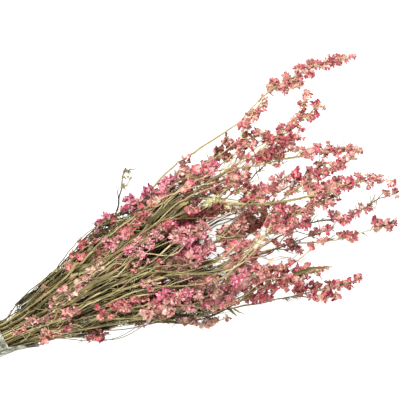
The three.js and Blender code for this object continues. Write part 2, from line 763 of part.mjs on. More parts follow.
function placeLeaf(stem, number) {
  const wished = SPRAYS[stem.spray].leaves?.[number];
  for (let attempt = 0; attempt < TRIES; attempt += 1) {
    const keys = [stem.spray, number, attempt];
    const [low, high] = LEAF_PLACES;
    const x = wished ? wished[0] : Math.min(stem.end - LEAF_FREE, low + (high - low) * random(...keys, 10));
    const angle = THREE.MathUtils.degToRad(wished ? wished[1] : 360 * random(...keys, 11));
    const size = LEAF_SIZE[0] + LEAF_SIZE[1] * random(...keys, 12);
    const length = wished ? wished[2] : LEAF_LENGTH * size;
    const root = axisAt(stem, x);
    const out = new THREE.Vector3(0, Math.cos(angle), Math.sin(angle));
    const ahead = axisAt(stem, Math.min(x + length, stem.end)).sub(root).normalize();
    const [middle, tip] = LEAF_RISE.map((rise, part) =>
      root.clone().addScaledVector(ahead, (length * (part + 1)) / 2).addScaledVector(out, length * rise),
    );
    const leaf = { root, middle, tip, out, keys };
    const isFree = [[root, middle], [middle, tip]].every(([start, end]) =>
      isClear(stem.spray, start, end, LEAF_ROOM),
    );
    if (isFree && Math.min(middle.z, tip.z) > LEAF_ROOM) return leaf;
  }
  return null;
}

function leafSolid({ root, middle, tip, out, keys }) {
  const ahead = new THREE.Vector3().subVectors(tip, root).normalize();
  const across = new THREE.Vector3().crossVectors(ahead, out).normalize();
  const up = new THREE.Vector3().crossVectors(across, ahead);
  const ring = (centre, share, key) =>
    [[1, 0], [0, 1], [-1, 0], [0, -1]].map(([wide, deep]) => {
      const wave = wide * (random(...keys, key) - 0.5);
      return centre
        .clone()
        .addScaledVector(across, (wide * share * LEAF_WIDTH) / 2)
        .addScaledVector(up, (deep * LEAF_THICKNESS) / 2 + wave * LEAF_WIDTH * LEAF_WAVE);
    });
  const early = root.clone().lerp(middle, 0.6);
  const vertices = [root, ...ring(early, 0.8, 13), ...ring(middle, 1, 14), tip];
  const faces = [];
  for (let side = 0; side < 4; side += 1) {
    const [a, b] = [1 + side, 1 + ((side + 1) % 4)];
    faces.push([0, b, a], [a, b, b + 4], [a, b + 4, a + 4], [a + 4, b + 4, 9]);
  }
  return solidOf(vertices, faces);
}

const leaves = SPRAYS.map(() => []);
for (const stem of stems.filter((one) => !one.parent)) {
  const count = Math.max(1, SPRAYS[stem.spray].leaves?.length ?? 0);
  for (let number = 0; number < count; number += 1) {
    const leaf = placeLeaf(stem, number);
    if (!leaf) continue;
    leaves[stem.spray].push(leaf);
    addRod(stem.spray, leaf.root, leaf.middle, LEAF_ROOM);
    addRod(stem.spray, leaf.middle, leaf.tip, LEAF_ROOM);
  }
}

function sprayMesh(spray, index) {
  const solids = stems.filter((stem) => stem.spray === index).map(stemSolid);
  solids.push(...florets[index].map(floretSolid), ...leaves[index].map(leafSolid));
  const fused = wasm.Manifold.union(solids).trimByPlane([0, 0, 1], 0).simplify(SMALLEST_DETAIL);
  const largest = fused.decompose().reduce((best, body) => (body.volume() > best.volume() ? body : best));
  return meshOf(largest, spray.name, COLOURS[spray.colour], 0.85);
}

function meshOf(solid, name, colour, roughness) {
  const { vertProperties, triVerts } = solid.getMesh();
  const geometry = new THREE.BufferGeometry();
  geometry.setAttribute("position", new THREE.BufferAttribute(vertProperties, 3));
  geometry.setIndex(new THREE.BufferAttribute(triVerts, 1));
  geometry.computeVertexNormals();
  const material = new THREE.MeshStandardMaterial({ color: colour, roughness, metalness: 0 });
  const mesh = new THREE.Mesh(geometry, material);
  mesh.name = name;
  return mesh;
}

// The film: a thin sleeve round the stems' hull, with a slanting front edge and one loose corner

// How far the stems reach from the middle of the tie in a direction across the bunch
function reachOfStems(x, angle) {
  const across = [Math.cos(angle), Math.sin(angle)];
  const reaches = stems
    .filter((stem) => !stem.parent)
    .map((stem) => {
      const place = axisAt(stem, x);
      return place.y * across[0] + place.z * across[1] + radiusAt(stem, x);
    });
  return Math.max(...reaches);
}

// The film is tight over the stems, and flat where it lies on the surface
function reachOfFilm(x, side, thickness) {
  if (side % FILM_SIDES === 0) return thickness - FILM_THICKNESS;
  return reachOfStems(x, -Math.PI / 2 + (2 * Math.PI * side) / FILM_SIDES) + FILM_GAP + thickness;
}

function filmPoint(x, side, thickness, flare) {
  const step = (2 * Math.PI) / FILM_SIDES;
  const angle = -Math.PI / 2 + side * step;
  const near = reachOfFilm(x, side, thickness);
  const far = reachOfFilm(x, side + 1, thickness);
  const along = (far - near * Math.cos(step)) / Math.sin(step);
  const y = near * Math.cos(angle) - along * Math.sin(angle);
  const z = near * Math.sin(angle) + along * Math.cos(angle);
  return new THREE.Vector3(x, y + flare * Math.cos(angle + step / 2), z + flare * Math.sin(angle + step / 2));
}

function filmRing(share, ring, thickness) {
  return Array.from({ length: FILM_SIDES }, (_, side) => {
    const middle = -Math.PI / 2 + ((side + 0.5) * 2 * Math.PI) / FILM_SIDES;
    const front = FILM_FRONT + FILM_SLANT * Math.cos(middle - THREE.MathUtils.degToRad(FILM_LOWEST));
    const x = FILM_BACK + (front - FILM_BACK) * share;
    const isFlat = side === 0 || side === FILM_SIDES - 1;
    const corner = Math.max(0, Math.cos(middle - Math.PI)) ** 4 * FILM_FLARE * share ** 6;
    const crinkle = FILM_CRINKLE * random(ring, side, 9) * Math.max(0, Math.sin(middle));
    return filmPoint(x, side, thickness, isFlat ? 0 : corner + crinkle);
  });
}

function filmSolid() {
  const outer = FILM_RINGS.map((share, ring) => filmRing(share, ring, FILM_THICKNESS));
  const inner = FILM_RINGS.map((share, ring) => filmRing(share, ring, 0));
  const rings = [...outer, ...inner.reverse()];
  const faces = [];
  rings.forEach((_, ring) => {
    const next = (ring + 1) % rings.length;
    for (let side = 0; side < FILM_SIDES; side += 1) {
      const turn = (side + 1) % FILM_SIDES;
      const [a, b] = [ring * FILM_SIDES + side, ring * FILM_SIDES + turn];
      const [c, d] = [next * FILM_SIDES + turn, next * FILM_SIDES + side];
      faces.push([a, b, c], [a, c, d]);
    }
  });
  return solidOf(rings.flat(), faces);
}

const bunch = new THREE.Group();
SPRAYS.forEach((spray, index) => bunch.add(sprayMesh(spray, index)));
bunch.add(meshOf(filmSolid(), "film_wrap", FILM_COLOUR, 0.25));

export default bunch;
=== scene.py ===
"""The looks of a bunch of dried delphinium on a pale floor: stems, florets, pods, dry leaves and film.

The bunch's own sizes are in millimetres, as in the model, and every mesh is made in metres. The stems and
florets are placed by the model's own rule, so that each one stands where its plain solid does.
"""

import json
import math

import bpy
import numpy as np
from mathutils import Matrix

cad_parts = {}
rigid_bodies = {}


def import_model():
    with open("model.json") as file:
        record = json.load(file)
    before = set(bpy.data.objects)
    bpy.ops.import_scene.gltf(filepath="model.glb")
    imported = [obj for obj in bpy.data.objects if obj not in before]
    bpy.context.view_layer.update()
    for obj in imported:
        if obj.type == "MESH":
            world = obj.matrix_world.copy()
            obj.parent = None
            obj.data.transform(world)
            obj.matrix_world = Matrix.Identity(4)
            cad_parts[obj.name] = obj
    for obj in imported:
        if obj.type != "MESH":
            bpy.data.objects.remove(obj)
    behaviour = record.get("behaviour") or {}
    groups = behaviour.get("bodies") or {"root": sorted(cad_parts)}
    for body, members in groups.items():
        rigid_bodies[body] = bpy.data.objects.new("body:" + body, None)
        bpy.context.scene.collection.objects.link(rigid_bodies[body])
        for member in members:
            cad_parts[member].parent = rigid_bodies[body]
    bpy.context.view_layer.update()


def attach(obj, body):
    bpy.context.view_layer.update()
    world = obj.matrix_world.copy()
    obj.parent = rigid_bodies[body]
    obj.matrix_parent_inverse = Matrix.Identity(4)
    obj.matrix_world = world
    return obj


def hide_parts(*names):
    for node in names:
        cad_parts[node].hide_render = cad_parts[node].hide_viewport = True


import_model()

# The model's sizes, most under the model's names. FLORET_SIZE, FLORET_REACH and LEAF_SIZE are a least value
# and what chance adds to it
SEED = 7
STATION = 30
FOOT_RADIUS = 2.3
FOOT_PITCH = 5.05
FOOT_LENGTH = 112
FOOT_SPARE = 22
FOOT_SPLAY = 0.22
STEM_GAP = 1.1
STRAIGHT_WITHIN = 0.3
FLORET_GAP = 0.5
FLOOR_GAP = 0.3
TIP_RADIUS = 0.6
STEM_TAPER = 1.5
PUSH_ROUNDS = 260
PUSH_SHARE = 0.7
TOUCHING = 0.01
SMOOTHING = 0.12
FLORET_LEAN = 0.55
FLORET_TAPER = 0.35
FLORET_SIZE = (0.88, 0.2)
FLORET_REACH = (0.75, 0.4)
LEAST_REACH = 0.7
LEAST_HEIGHT = 0.55
OWN_SPACING = 0.97
FUNNEL_RADIUS = 1.6
TRIES = 14
TRY_TURN = 0.37
TRY_SHRINK = 0.03
FIRST_TURN = 2
LEAF_LENGTH = 26
LEAF_SIZE = (0.75, 0.5)
LEAF_RISE = (0.2, 0.26)
LEAF_FREE = 40
LEAF_WIDTH = 5
LEAF_PLACES = (45, 210)
LEAF_ROOM = 3.1
FILM_THICKNESS = 0.8
FILM_GAP = 0.4
FILM_BACK = -72
FILM_FRONT = -4
FILM_SLANT = 16
FILM_LOWEST = math.radians(225)
GOLDEN_ANGLE = math.pi * (3 - math.sqrt(5))
ALL_ROUND = (90, 180)
UPWARD = (90, 75)
LOWEST_FOOT = FILM_THICKNESS + FILM_GAP + FOOT_RADIUS
CROWD_ROOM = 4096  # most balls and rods that keep others clear

# From here on, a pair without a comment is the least and the greatest value that chance picks from
MM = 0.001
UP = np.array([0.0, 0.0, 1.0])
SHARP_ANGLE = 50  # degrees between two triangles that make a sharp edge
AHEAD = 10  # between two points that give a stem's direction
UPRIGHT = (0.8, 0.9)  # a tube, and a floret, whose unit direction is higher than this counts as upright
LOWEST = 1  # no fine part is lower

# Stems, and what grows on them
STEM_SIDES = 8
SHOOT_SIDES = 6
STEM_STEP = 9  # between two rings of a stem
STEM_KINK = 0.6  # how far a dry stem strays from a smooth curve
FOOT_KINK = 0.15  # share of that in the tie
JOINT_SWELL = 0.18
JOINT_ABOVE = 0.84  # share of a stem's rings that aren't joints
FOOT_SHARE = 0.46  # radius of a real stem's foot, in the model's, which has room for the fillers too
FOOT_TO = 150  # where the real stem is as thick as the model's
TOP = 112  # nothing that lies on the bunch is higher
STALK_RINGS = 5
STALK_SIDES = 3
STALK_TONES = (0.55, 0.45)  # at its start, and what its end has more
STALK_TINT = (0.2, 1)
STALK_SHORT = 0.3  # a stalk ends this far behind its floret's middle, in floret radii
FLOWER_STALK = (0.55, 0.45)  # radius at the start and at the end, as in the next three
RUN_STALK = (0.55, 0.4)
BUD_STALK = (0.45, 0.35)
HEAD_STALK = (0.4, 0.3)
SAG = 1.2  # how far stalks are bent, on average
SMALL_SAG = 0.8
BUD_SAG = 0.6
SHOOT_SAG = 1.5
BRACT_STEP = 4  # between the small awl-shaped leaves along a run
BRACT_REACH = (25, 6)  # how far before a run they start, and how far before the stem's end they stop
BRACT_LENGTH = (5, 12)
BRACT_RADIUS = (0.6, 0.95)
BRACT_PROFILE = (0.8, 1, 0.9, 0.7, 0.4)
BRACT_LEAN = 1.6
BRACT_CURL = 0.45

# Florets, in millimetres, and their petals, in floret radii and radians
PETAL_THICKNESS = 0.3
PETAL_ARCH = (0.05, 0.84, 1.4, 0.75)  # its outline on an arch: its start, share, lateness and bluntness
PETAL_WOBBLE = 0.12
PETAL_TWIST = 0.7
PETAL_FOLD = (-0.3, 0.9)
PETAL_CRUMPLE = 0.08  # in the petal's width
TINT_SHARES = (0.55, 0.45)  # of a petal's own tint, and of its floret's
FADE_SHARES = (0.25, 0.75)  # and the same for how faded it is
SINGLE_KINDS = 12  # differently crumpled florets that the clusters draw from
SINGLE_LEAN = (0.35, 1.2)
LEAN_SPREAD = (0.25, 0.2)  # of the petals of single and of double florets
BROAD_PETALS = 5
BROAD_STRAY = 0.25  # how unevenly petals stand round their floret, in petals
BROAD_LENGTH = (0.8, 1.1)
BROAD_WIDTH = (0.75, 1.05)
BROAD_CUP = (-0.9, 1.1)
SMALL_STRAY = 0.3
EYE_LENGTH = (0.35, 0.55)
SPUR_BEND = 0.5
SPUR_LENGTH = 0.85
SPUR_PROFILE = (0.14, 0.1, 0.04)
DOUBLE_KINDS = 9
DOUBLE_LAYERS = [(7, 1.0, 0.3), (5, 0.85, 0.95)]  # petals, their length, and how far they lean up
NARROW_LENGTH = (0.85, 1.15)
NARROW_WIDTH = (0.36, 0.52)
NARROW_CUP = (-0.7, 0.7)
BUD_KINDS = 4
BUD_PROFILE = (0.35, 0.8, 1.0, 0.85, 0.5, 0.12)
BUD_LENGTH = 2.8
BUD_BEND = 0.25
BUD_CRUMPLE = 0.06
FLORET_RADIUS = 8.8  # of a real floret, on average
FLORET_FIT = 0.85  # and at most this share of its cluster's radius
FLORET_SHARE = 0.06  # florets in a cluster for each square millimetre of its radius squared
CLUSTER_SPREAD = 0.42  # how far a cluster's florets stand from its middle, in cluster radii
CLUSTER_STRAY = (0.7, 1.1)
CLUSTER_BACK = 0.15  # how far they stand back towards the stem, in the same
CLUSTER_FACING = 0.5  # how much they face away from the stem, and towards its tip
CLUSTER_LEAN = (0.35, 0, 0)
CLUSTER_STIR = 0.25
CLUSTER_SIZE = (0.82, 1.15)
ROOT_SPREAD = (6, 3)  # how far before and past the cluster's root their stalks leave the stem
DIRECTION_STIR = 0.2
RUN_STEP = 7  # between the small florets close to the stem along a run
RUN_LEAN = 0.8
RUN_REACH = (0.25, 0.7)
RUN_SIZE = (0.65, 0.95)
RUN_BUDS = 0.84  # share of a run at which closed buds take over
BUD_SIZE = (1.3, 2.1)
BUD_FIT = 0.5  # a bud's radius in that of the model's floret
BUD_LEAN = (2.5, 0, 0)
BUD_RADIUS = 4.5  # what the model makes smaller than this is a bud or a pod

# Leaves
LEAF_KINK = 0.3  # how far dry leaves turn aside past their middle, for each millimetre
LEAF_KINK_FROM = 0.6
LEAF_POINTS = 13
LEAF_LEAN = 0.3
LEAF_TONE = (0.5, 0.9)
STRAP_ARCH = (0.06, 0.93, 1, 0.7)
STRAP_STIR = 0.3
STRAP_TWIST = 1.6
STRAP_TURN = 0.6
STRAP_COLUMNS = 5
STRAP_WAVE = (0.3, 9, 4)  # height in mm, and radians along and across
STRAP_FOLD = 0.7
STRAPS = 26
STRAP_POINTS = 12
STRAP_START = (20, 170)
STRAP_AT = 40  # how far past its start the two stems are picked that a strap follows
STRAP_LENGTH = (30, 60)
STRAP_STRAY = 3
STRAP_LIFT = 2
STRAP_WIDTH = (2.5, 4.5)
STRAP_TONE = (0.2, 0.6)
BROAD_LEAF_LIFT = 2
UNDER_LEAVES = 95  # broad leaves low in the bunch, near black as painted shade where little light comes, hiding the floor between the stems
UNDER_PLACES = (30, 245)
UNDER_DENSE = 120  # up to here they reach closer to the edges of the bunch
UNDER_WIDE = (0.04, 0.96)
UNDER_NARROW = (0.1, 0.9)
UNDER_REACH = (20, 24)  # half their length at the tie
UNDER_GROWTH = 0.1  # and by how much the most grows for each millimetre
UNDER_POINTS = 10
UNDER_STRAY = 0.1
UNDER_HEIGHT = (4, 14)
UNDER_RISE = 0.02
UNDER_WIDTH = (6, 9)
# near black: painted shade deep in the bunch
UNDER_SHADE_TONE = (0, 0.1)
SHREDS = 3000
SHRED_REACH = 270
SHRED_HEIGHT = (0.2, 1.05)
SHRED_LENGTH = (10, 34)
SHRED_STRAY = 0.45
SHRED_CURL = (1, 7)
SHRED_WAVE = (2, 8)
SHRED_RADIUS = (0.35, 0.95)
SHRED_ALONG = (0, 0.5)
SHRED_PROFILE = (0.8, 1, 1, 0.9, 0.8, 0.6, 0.3)
SHRED_PAINTED_SHADE = 2.6  # the higher, the more shreds are darkened as painted shade deep among the stems, and the fewer are light

# Thin stems, curled stalks, loose florets and pods between and on the sprays
OUTLYING = ("spray_seed_head", "spray_top_07", "spray_ground_01")  # nothing fills the gaps next to these
EDGE_STATIONS = (-60, 470, 10)
EDGE_ROUNDS = 12  # in which the bunch's edges are evened out
TOP_ROUNDS = 3
THIN_SIDES = 5
THIN_TIP = 0.5  # share of its radius that a thin stem has at its tip
FILLER_STEMS = 220
FILLER_REACH = (40, 430)
FILLER_START = (0.25, 0.75)
FILLER_BEYOND = (0, 30)
FILLER_STEP = 10
FILLER_RADIUS = (0.5, 1.15)
FILLER_TONE = (0, 0.9)
FOOT_EACH = 5  # every fifth one starts at the cut feet
OVER_EACH = 4  # and every fourth one lies over the top
SWAY = (0.8, 2.4)
SWAY_GROWTH = 0.012
SWAY_FREE = 40  # length at its start in which it can't sway fully
SWAY_WAVE = (12, 40)
SHARE_STRAY = 0.5  # how far it strays from one of its two sprays' stems to the other
SIDE_STRAY = 14
EDGE_ROOM = (0, 14)
BARE_EDGE = 12  # no florets on those that end closer to the edge
STRAW_CHANCE = 0.3
HEAD_CHANCE = 0.8
HEAD_LENGTH = 45  # of a thin stem's tip that carries florets
HEAD_STEM = 60  # what is shorter counts as this long
HEAD_LEAN = (0.6, 0, 0.3)
HEAD_REACH = (2, 8)
HEAD_SIZE = (0.6, 0.95)
NARROW_END = 120  # up to here a head has few florets
FEW_FLORETS = (1, 3)  # the least, and one more than the greatest
MANY_FLORETS = (4, 10)
FLORET_FLOOR = (4, 5)  # least height of a head's floret and of a loose one
CURLS = 110  # thin curled stalks on top of the narrow end
CURL_REACH = 190
CURL_STEP = 5
CURL_STRAY = 0.45
CURL_BEND = 0.02
CURL_STIR = 0.12
CURL_POINTS = (6, 12)  # the least, and one more than the greatest
CURL_LIFT = 2
CURL_ROOM = 3  # between a curl and the edge of the bunch
CURL_RADIUS = (0.5, 0.85)
CURL_TONE = (0.3, 1)
LOOSE_SHARE = 0.055  # florets in a loose group for each square millimetre of its radius squared
LOOSE_SPREAD = 0.65
LOOSE_RISE = (-12, 0)
BROAD_GROUP = 7  # groups of a greater radius stand higher by BROAD_LIFT
BROAD_LIFT = 8
LOOSE_OUT = 0.6
LOOSE_LEAN = 0.4
LOOSE_UP = (0.1, 1.0)
LOOSE_LEAST = 4.2
LOOSE_SIZE = (0.8, 1.15)
LOOSE_SHOOT = (14, 0, 8)  # a loose floret's shoot starts this far behind and below it
SHOOT_STRAY = 2
STEM_COVER = 8  # how far beside a stem the bunch is still as high
OVER_LIFT = 4
RISE_FROM = 20  # where a stem leaves the others to lie over them, and the length in which it rises
RISE_LENGTH = 60
LONG_LIFT = 9
LONG_POINTS = 24
LONG_KINK = 0.35
STRAY_POINTS = 26
STRAY_KINK = 0.4
STRAY_RADIUS = (0.6, 0.9)
STRAY_TONE = (0.1, 0.6)
STRAY_HEAD = 0.7  # share of its length at which its florets start
HUSKS = 3  # in each pod
POD_SPREAD = 0.3
POD_LEAN = (0.6, 0, 0.6)
POD_SIZE = 1.3
SEED_KINK = 0.25
SEED_SPREAD = 0.35
SEED_LEAN = (0.3, 0.5, 0.3)
SEED_SIZE = (0.7, 1.1)

# The film, finer than the model's
FILM_AHEAD = 5  # how far the real film's front edge is ahead of the model's
FILM_FLARE = 9
FILM_CORNER = 13  # how far its loose corner points ahead
CORNER_AT = 1.04 * math.pi
CORNER_POWER = 4
FILM_SIDES = 72
FILM_ROWS = 22
FILM_SHEET = 0.25  # its thickness
FILM_WAVES = [(0.5, 5, 0.25), (0.4, 11, -0.4)]  # their height, their count round it, radians for each mm
CREASE = 0.25
WAVE_LIFT = 0.2
FLAT_SHARE = 0.35  # how far below its middle the creases reach

# The photograph: its frame is 520 mm wide at the height of the flowers, centred on this point of the bunch
VIEW_CENTRE = (300.4, 53.6)
VIEW_WIDTH = 520
VIEW_HEIGHT = 60
VIEW_DISTANCE = 3000
VIEW_ROLL = -25  # degrees: the bunch points right and up by this much
VIEW_END = 20  # metres
SENSOR = 36

# Light and floor, in metres and watts: each lamp's place, size and power, and the point they are aimed at
LAMPS = {"key": ((0.4, 1.0, 1.55), 0.4, 41), "fill": ((-0.3, -1.0, 1.4), 0.6, 17)}
LAMP_AIM = (0.25, 0.03, 0.05)
SKY_LIGHT = 0.36
FLOOR_HALF = 4
FLOOR_GREYS = (0.4, 0.44)
FLOOR_GLOW = 0.92

# The sprays of each layer as in the model, in the order of their places in the tie: the stem's radius, the
# colours of petals and stem, its route, its runs of florets (from, to, count, reach, radius, sector), its
# side shoots (station, radius, route, runs), and any leaves not left to chance (place, angle, length).
SPRAY_FIELDS = ("radius", "petals", "stem", "route", "runs", "shoots", "leaves")
LAYERS = {
    "top": [
        (1.5, "blush", "olive",
         [(100, -29, 40), (200, -44, 55), (290, -57, 68), (338, -61, 68)],
         [(286, 336, 7, 9, 10, ALL_ROUND)]),
        (1.5, "rose", "straw",
         [(85, -12, 42), (140, -13, 56), (180, -17, 68), (220, -17, 78), (260, -25, 88), (300, -27, 92),
          (340, -27, 92), (375, -18, 90), (430, -15, 82), (470, -16, 76)],
         [(362, 468, 12, 9, 10, ALL_ROUND)],
         [(12, 0.9, [(385, -30, 80), (428, -25, 76)], [(378, 426, 4, 6, 9.5, UPWARD)])]),
        (1.5, "rose", "straw",
         [(50, -11, 34), (80, -12, 46), (100, -5, 53), (130, -2, 60), (205, -4, 82), (240, -24, 94),
          (280, -40, 101), (300, -44, 103), (330, -38, 103), (355, -25, 102), (375, -6, 96),
          (402, 3, 90)],
         [(74, 96, 2, 8, 8, UPWARD), (366, 400, 6, 8, 10, ALL_ROUND)]),
        (2, "pink", "straw",
         [(36, 1, 30), (62, 2, 40), (100, 9, 53), (125, 13, 60), (150, 13, 66), (180, 6, 74),
          (210, 8, 82), (250, 18, 90), (297, 21, 90)],
         [(4, 64, 2, 6, 7.5, UPWARD), (248, 295, 7, 9, 10, ALL_ROUND)]),
        (1.3, "blush", "olive",
         [(60, 9, 44), (100, 19, 60), (152, 27, 74)],
         [(84, 150, 8, 7, 8.5, UPWARD)]),
        (1.5, "crimson", "straw",
         [(60, 18, 34), (100, 28, 44), (150, 31, 62), (195, 41, 78), (235, 54, 90), (262, 69, 94),
          (290, 78, 92), (330, 78, 88), (365, 74, 86), (400, 79, 80), (440, 85, 72), (465, 93, 66),
          (498, 100, 60)],
         [(404, 498, 12, 8, 9.5, ALL_ROUND)],
         [(15, 0.8, [(468, 110, 70), (488, 119, 68)], [(464, 487, 2, 4, 8, ALL_ROUND)])]),
        (1.6, "rose", "straw",
         [(50, 23, 40), (100, 36, 50), (150, 55, 56), (200, 71, 56), (238, 88, 48), (255, 97, 44),
          (280, 106, 38), (310, 111, 33), (350, 119, 26), (388, 124, 20), (425, 139, 15), (450, 146, 12),
          (480, 148, 11), (515, 150, 11), (545, 146, 11), (568, 138, 11)],
         [(446, 566, 13, 8, 10, ALL_ROUND)],
         [(15, 0.7, [(470, 135, 16), (486, 133, 18)], [(468, 485, 3, 3, 3.2, ALL_ROUND)])]),
    ],
    "upper": [
        (1.4, "blush", "olive",
         [(60, -28, 30), (100, -37, 34), (150, -45, 46), (208, -57, 56)],
         [(166, 206, 6, 9, 10, UPWARD)]),
        (1.3, "crimson", "olive",
         [(30, -20, 26), (75, -23, 38), (115, -29, 51), (150, -30, 59), (188, -29, 66)],
         [(28, 80, 5, 6, 7.5, (140, 75)), (114, 186, 9, 8, 9.5, UPWARD)]),
        (1.4, "pink", "straw",
         [(100, -22, 36), (150, -34, 54), (200, -44, 72), (268, -46, 76)],
         [(198, 266, 9, 9, 10, UPWARD)]),
        (1.5, "pink", "olive",
         [(60, -4, 30), (100, -6, 42), (200, -10, 62), (240, -9, 68), (292, -7, 72)],
         [(186, 214, 3, 9, 9.5, UPWARD), (236, 290, 8, 9, 10, ALL_ROUND)]),
        (1.5, "pink", "olive",
         [(60, 8, 34), (110, 16, 56), (150, 20, 72), (190, 27, 86), (215, 34, 94), (242, 42, 98)],
         [(184, 240, 10, 9, 10, ALL_ROUND)]),
        (1.5, "rose", "straw",
         [(100, 20, 38), (150, 27, 56), (210, 39, 74), (250, 51, 88), (280, 60, 97), (310, 68, 98),
          (345, 71, 98), (375, 66, 94), (400, 60, 88), (430, 54, 80), (450, 49, 74), (470, 45, 70),
          (495, 40, 64), (520, 20, 56)],
         [(438, 516, 11, 7, 9.5, ALL_ROUND)],
         [],
         [(262, 100, 26)]),
        (1.5, "crimson", "olive",
         [(60, 26, 34), (100, 36, 40), (150, 46, 52), (170, 50, 58), (190, 55, 62), (232, 64, 64)],
         [(134, 230, 12, 8, 9.5, UPWARD)]),
        (1.1, "magenta", "olive",
         [(30, 34, 18), (60, 43, 22), (100, 53, 32), (130, 66, 42), (165, 80, 52), (190, 82, 58),
          (242, 85, 66), (265, 88, 68), (285, 96, 68), (312, 109, 64)],
         [(158, 190, 2, 4, 8, ALL_ROUND), (206, 310, 10, 7, 10, ALL_ROUND)]),
    ],
    "middle": [
        (1.1, "dark", "olive",
         [(50, -30, 12), (90, -47, 14), (116, -55, 15)],
         [(86, 114, 3, 6, 8.5, ALL_ROUND)]),
        (1.6, "pink", "olive",
         [(100, -34, 24), (180, -52, 38), (240, -66, 50), (300, -74, 50)],
         [(236, 298, 10, 10, 10, ALL_ROUND)]),
        (1.4, "coral", "olive",
         [(100, -2, 26), (200, 2, 42), (280, -3, 54), (305, -4, 58), (337, 4, 64), (374, 12, 62)],
         [(298, 372, 7, 8, 9.5, ALL_ROUND)]),
        (2.3, "rose", "straw",
         [(50, 8, 26), (100, 27, 38), (150, 42, 54), (205, 54, 70), (230, 60, 76), (260, 65, 80),
          (290, 61, 88), (320, 44, 96), (350, 25, 98), (400, 5, 94), (450, -3, 88), (500, -12, 80),
          (548, -34, 70)],
         [(426, 536, 12, 9, 10, ALL_ROUND)],
         [(13, 0.9, [(430, 16, 92), (478, 20, 86), (508, 17, 82)], [(424, 504, 6, 5, 9.5, ALL_ROUND)])]),
        (1.5, "crimson", "olive",
         [(100, 16, 28), (200, 28, 46), (255, 38, 60), (300, 40, 62), (330, 36, 62)],
         [(244, 328, 11, 9, 10, ALL_ROUND)]),
        (1.2, "rose", "straw",
         [(100, 30, 28), (200, 48, 46), (300, 60, 66), (350, 76, 74), (375, 98, 72), (392, 114, 66),
          (410, 128, 60), (436, 138, 54)],
         [(386, 434, 6, 6, 10, ALL_ROUND)]),
        (0.9, "husk", "olive",
         [(100, 44, 22), (150, 62, 30), (190, 76, 34), (200, 92, 36), (212, 109, 36), (232, 131, 36)],
         [(204, 231, 9, 5, 3.6, ALL_ROUND)]),
    ],
    "lower": [
        (1.2, "blush", "olive",
         [(60, -28, 9), (130, -48, 12), (180, -68, 16), (215, -86, 20), (240, -97, 20), (270, -103, 18)],
         [(204, 250, 4, 6, 8.5, ALL_ROUND), (252, 270, 3, 3, 3, ALL_ROUND)]),
        (1.7, "crimson", "olive",
         [(100, -31, 14), (200, -62, 28), (260, -80, 36), (305, -90, 38), (350, -87, 40), (380, -91, 40),
          (410, -99, 38)],
         [(300, 408, 15, 10, 10, ALL_ROUND)],
         [],
         [(352, 60, 74), (262, 250, 24)]),
        (1.2, "rose", "olive",
         [(100, -14, 12), (200, -26, 28), (300, -36, 44), (360, -35, 54), (410, -32, 58), (450, -44, 58),
          (480, -47, 57), (500, -46, 56), (520, -42, 56), (540, -46, 56)],
         [(440, 500, 5, 4, 8, ALL_ROUND), (516, 538, 2, 3, 7.5, ALL_ROUND)],
         [(10, 0.8, [(350, -45, 48), (400, -49, 50), (444, -53, 50)], [(408, 442, 2, 4, 7.5, ALL_ROUND)])]),
        (1.5, "crimson", "olive",
         [(100, 6, 14), (200, 10, 34), (300, 14, 54), (350, 14, 66), (400, 21, 72), (435, 23, 74),
          (470, 30, 72)],
         [(418, 468, 6, 8, 9.5, ALL_ROUND)]),
        (1.3, "rose", "straw",
         [(100, 12, 14), (200, 17, 32), (300, 24, 50), (350, 31, 60), (385, 29, 64), (428, 36, 66)],
         [(344, 426, 9, 8, 9.5, ALL_ROUND)]),
        (1.4, "rose", "straw",
         [(100, 26, 14), (200, 36, 28), (300, 40, 42), (350, 45, 52), (400, 61, 60), (425, 70, 62),
          (454, 79, 62)],
         [(396, 452, 9, 9, 10, ALL_ROUND)]),
    ],
    "ground": [
        (1.5, "crimson", "olive",
         [(100, -38, 4), (200, -72, 7), (270, -92, 10), (310, -102, 11), (350, -112, 12), (375, -117, 12),
          (410, -124, 12), (450, -131, 12)],
         [(362, 448, 9, 7, 10, ALL_ROUND)],
         [(12, 0.8, [(378, -127, 12), (416, -138, 12)], [(372, 414, 3, 4, 9.5, ALL_ROUND)])]),
        (1.3, "rose", "olive",
         [(100, -20, 5), (200, -34, 14), (300, -42, 24), (375, -47, 34), (420, -63, 38), (450, -71, 40),
          (480, -75, 41), (522, -81, 42)],
         [(442, 466, 3, 7, 8.5, ALL_ROUND), (492, 520, 5, 6, 9.5, ALL_ROUND)],
         [(12, 0.8, [(375, -55, 34), (393, -60, 34)], [(376, 392, 2, 4, 8.5, ALL_ROUND)])]),
        (1.5, "dark", "olive",
         [(100, 0, 5), (200, -4, 16), (300, -6, 24), (396, -2, 28)],
         [(300, 394, 11, 10, 10, ALL_ROUND)]),
        (1.5, "crimson", "olive",
         [(100, 14, 5), (200, 26, 12), (300, 32, 18), (330, 33, 20)],
         [(214, 326, 13, 10, 10, ALL_ROUND)]),
        (1.9, "dark", "olive",
         [(100, 32, 8), (200, 60, 22), (260, 74, 34), (300, 83, 42), (335, 92, 46), (370, 98, 46),
          (414, 97, 46)],
         [(290, 412, 17, 9, 10, ALL_ROUND)],
         [(11, 0.8, [(350, 104, 52), (370, 113, 54)], [(344, 369, 2, 4, 8.5, ALL_ROUND)])]),
    ],
}


def sprays_of(layer, row):
    """The sprays of a layer as records, with their names and their places in the tie."""
    made = []
    for column, values in enumerate(LAYERS[layer]):
        spray = {"shoots": [], "leaves": []} | dict(zip(SPRAY_FIELDS, values))
        name = "seed_head" if spray["petals"] == "husk" else f"{layer}_{column + 1:02d}"
        made.append(spray | dict(name=f"spray_{name}", row=row, column=column, columns=len(LAYERS[layer])))
    return made


SPRAYS = [spray for depth, layer in enumerate(LAYERS) for spray in sprays_of(layer, len(LAYERS) - 1 - depth)]

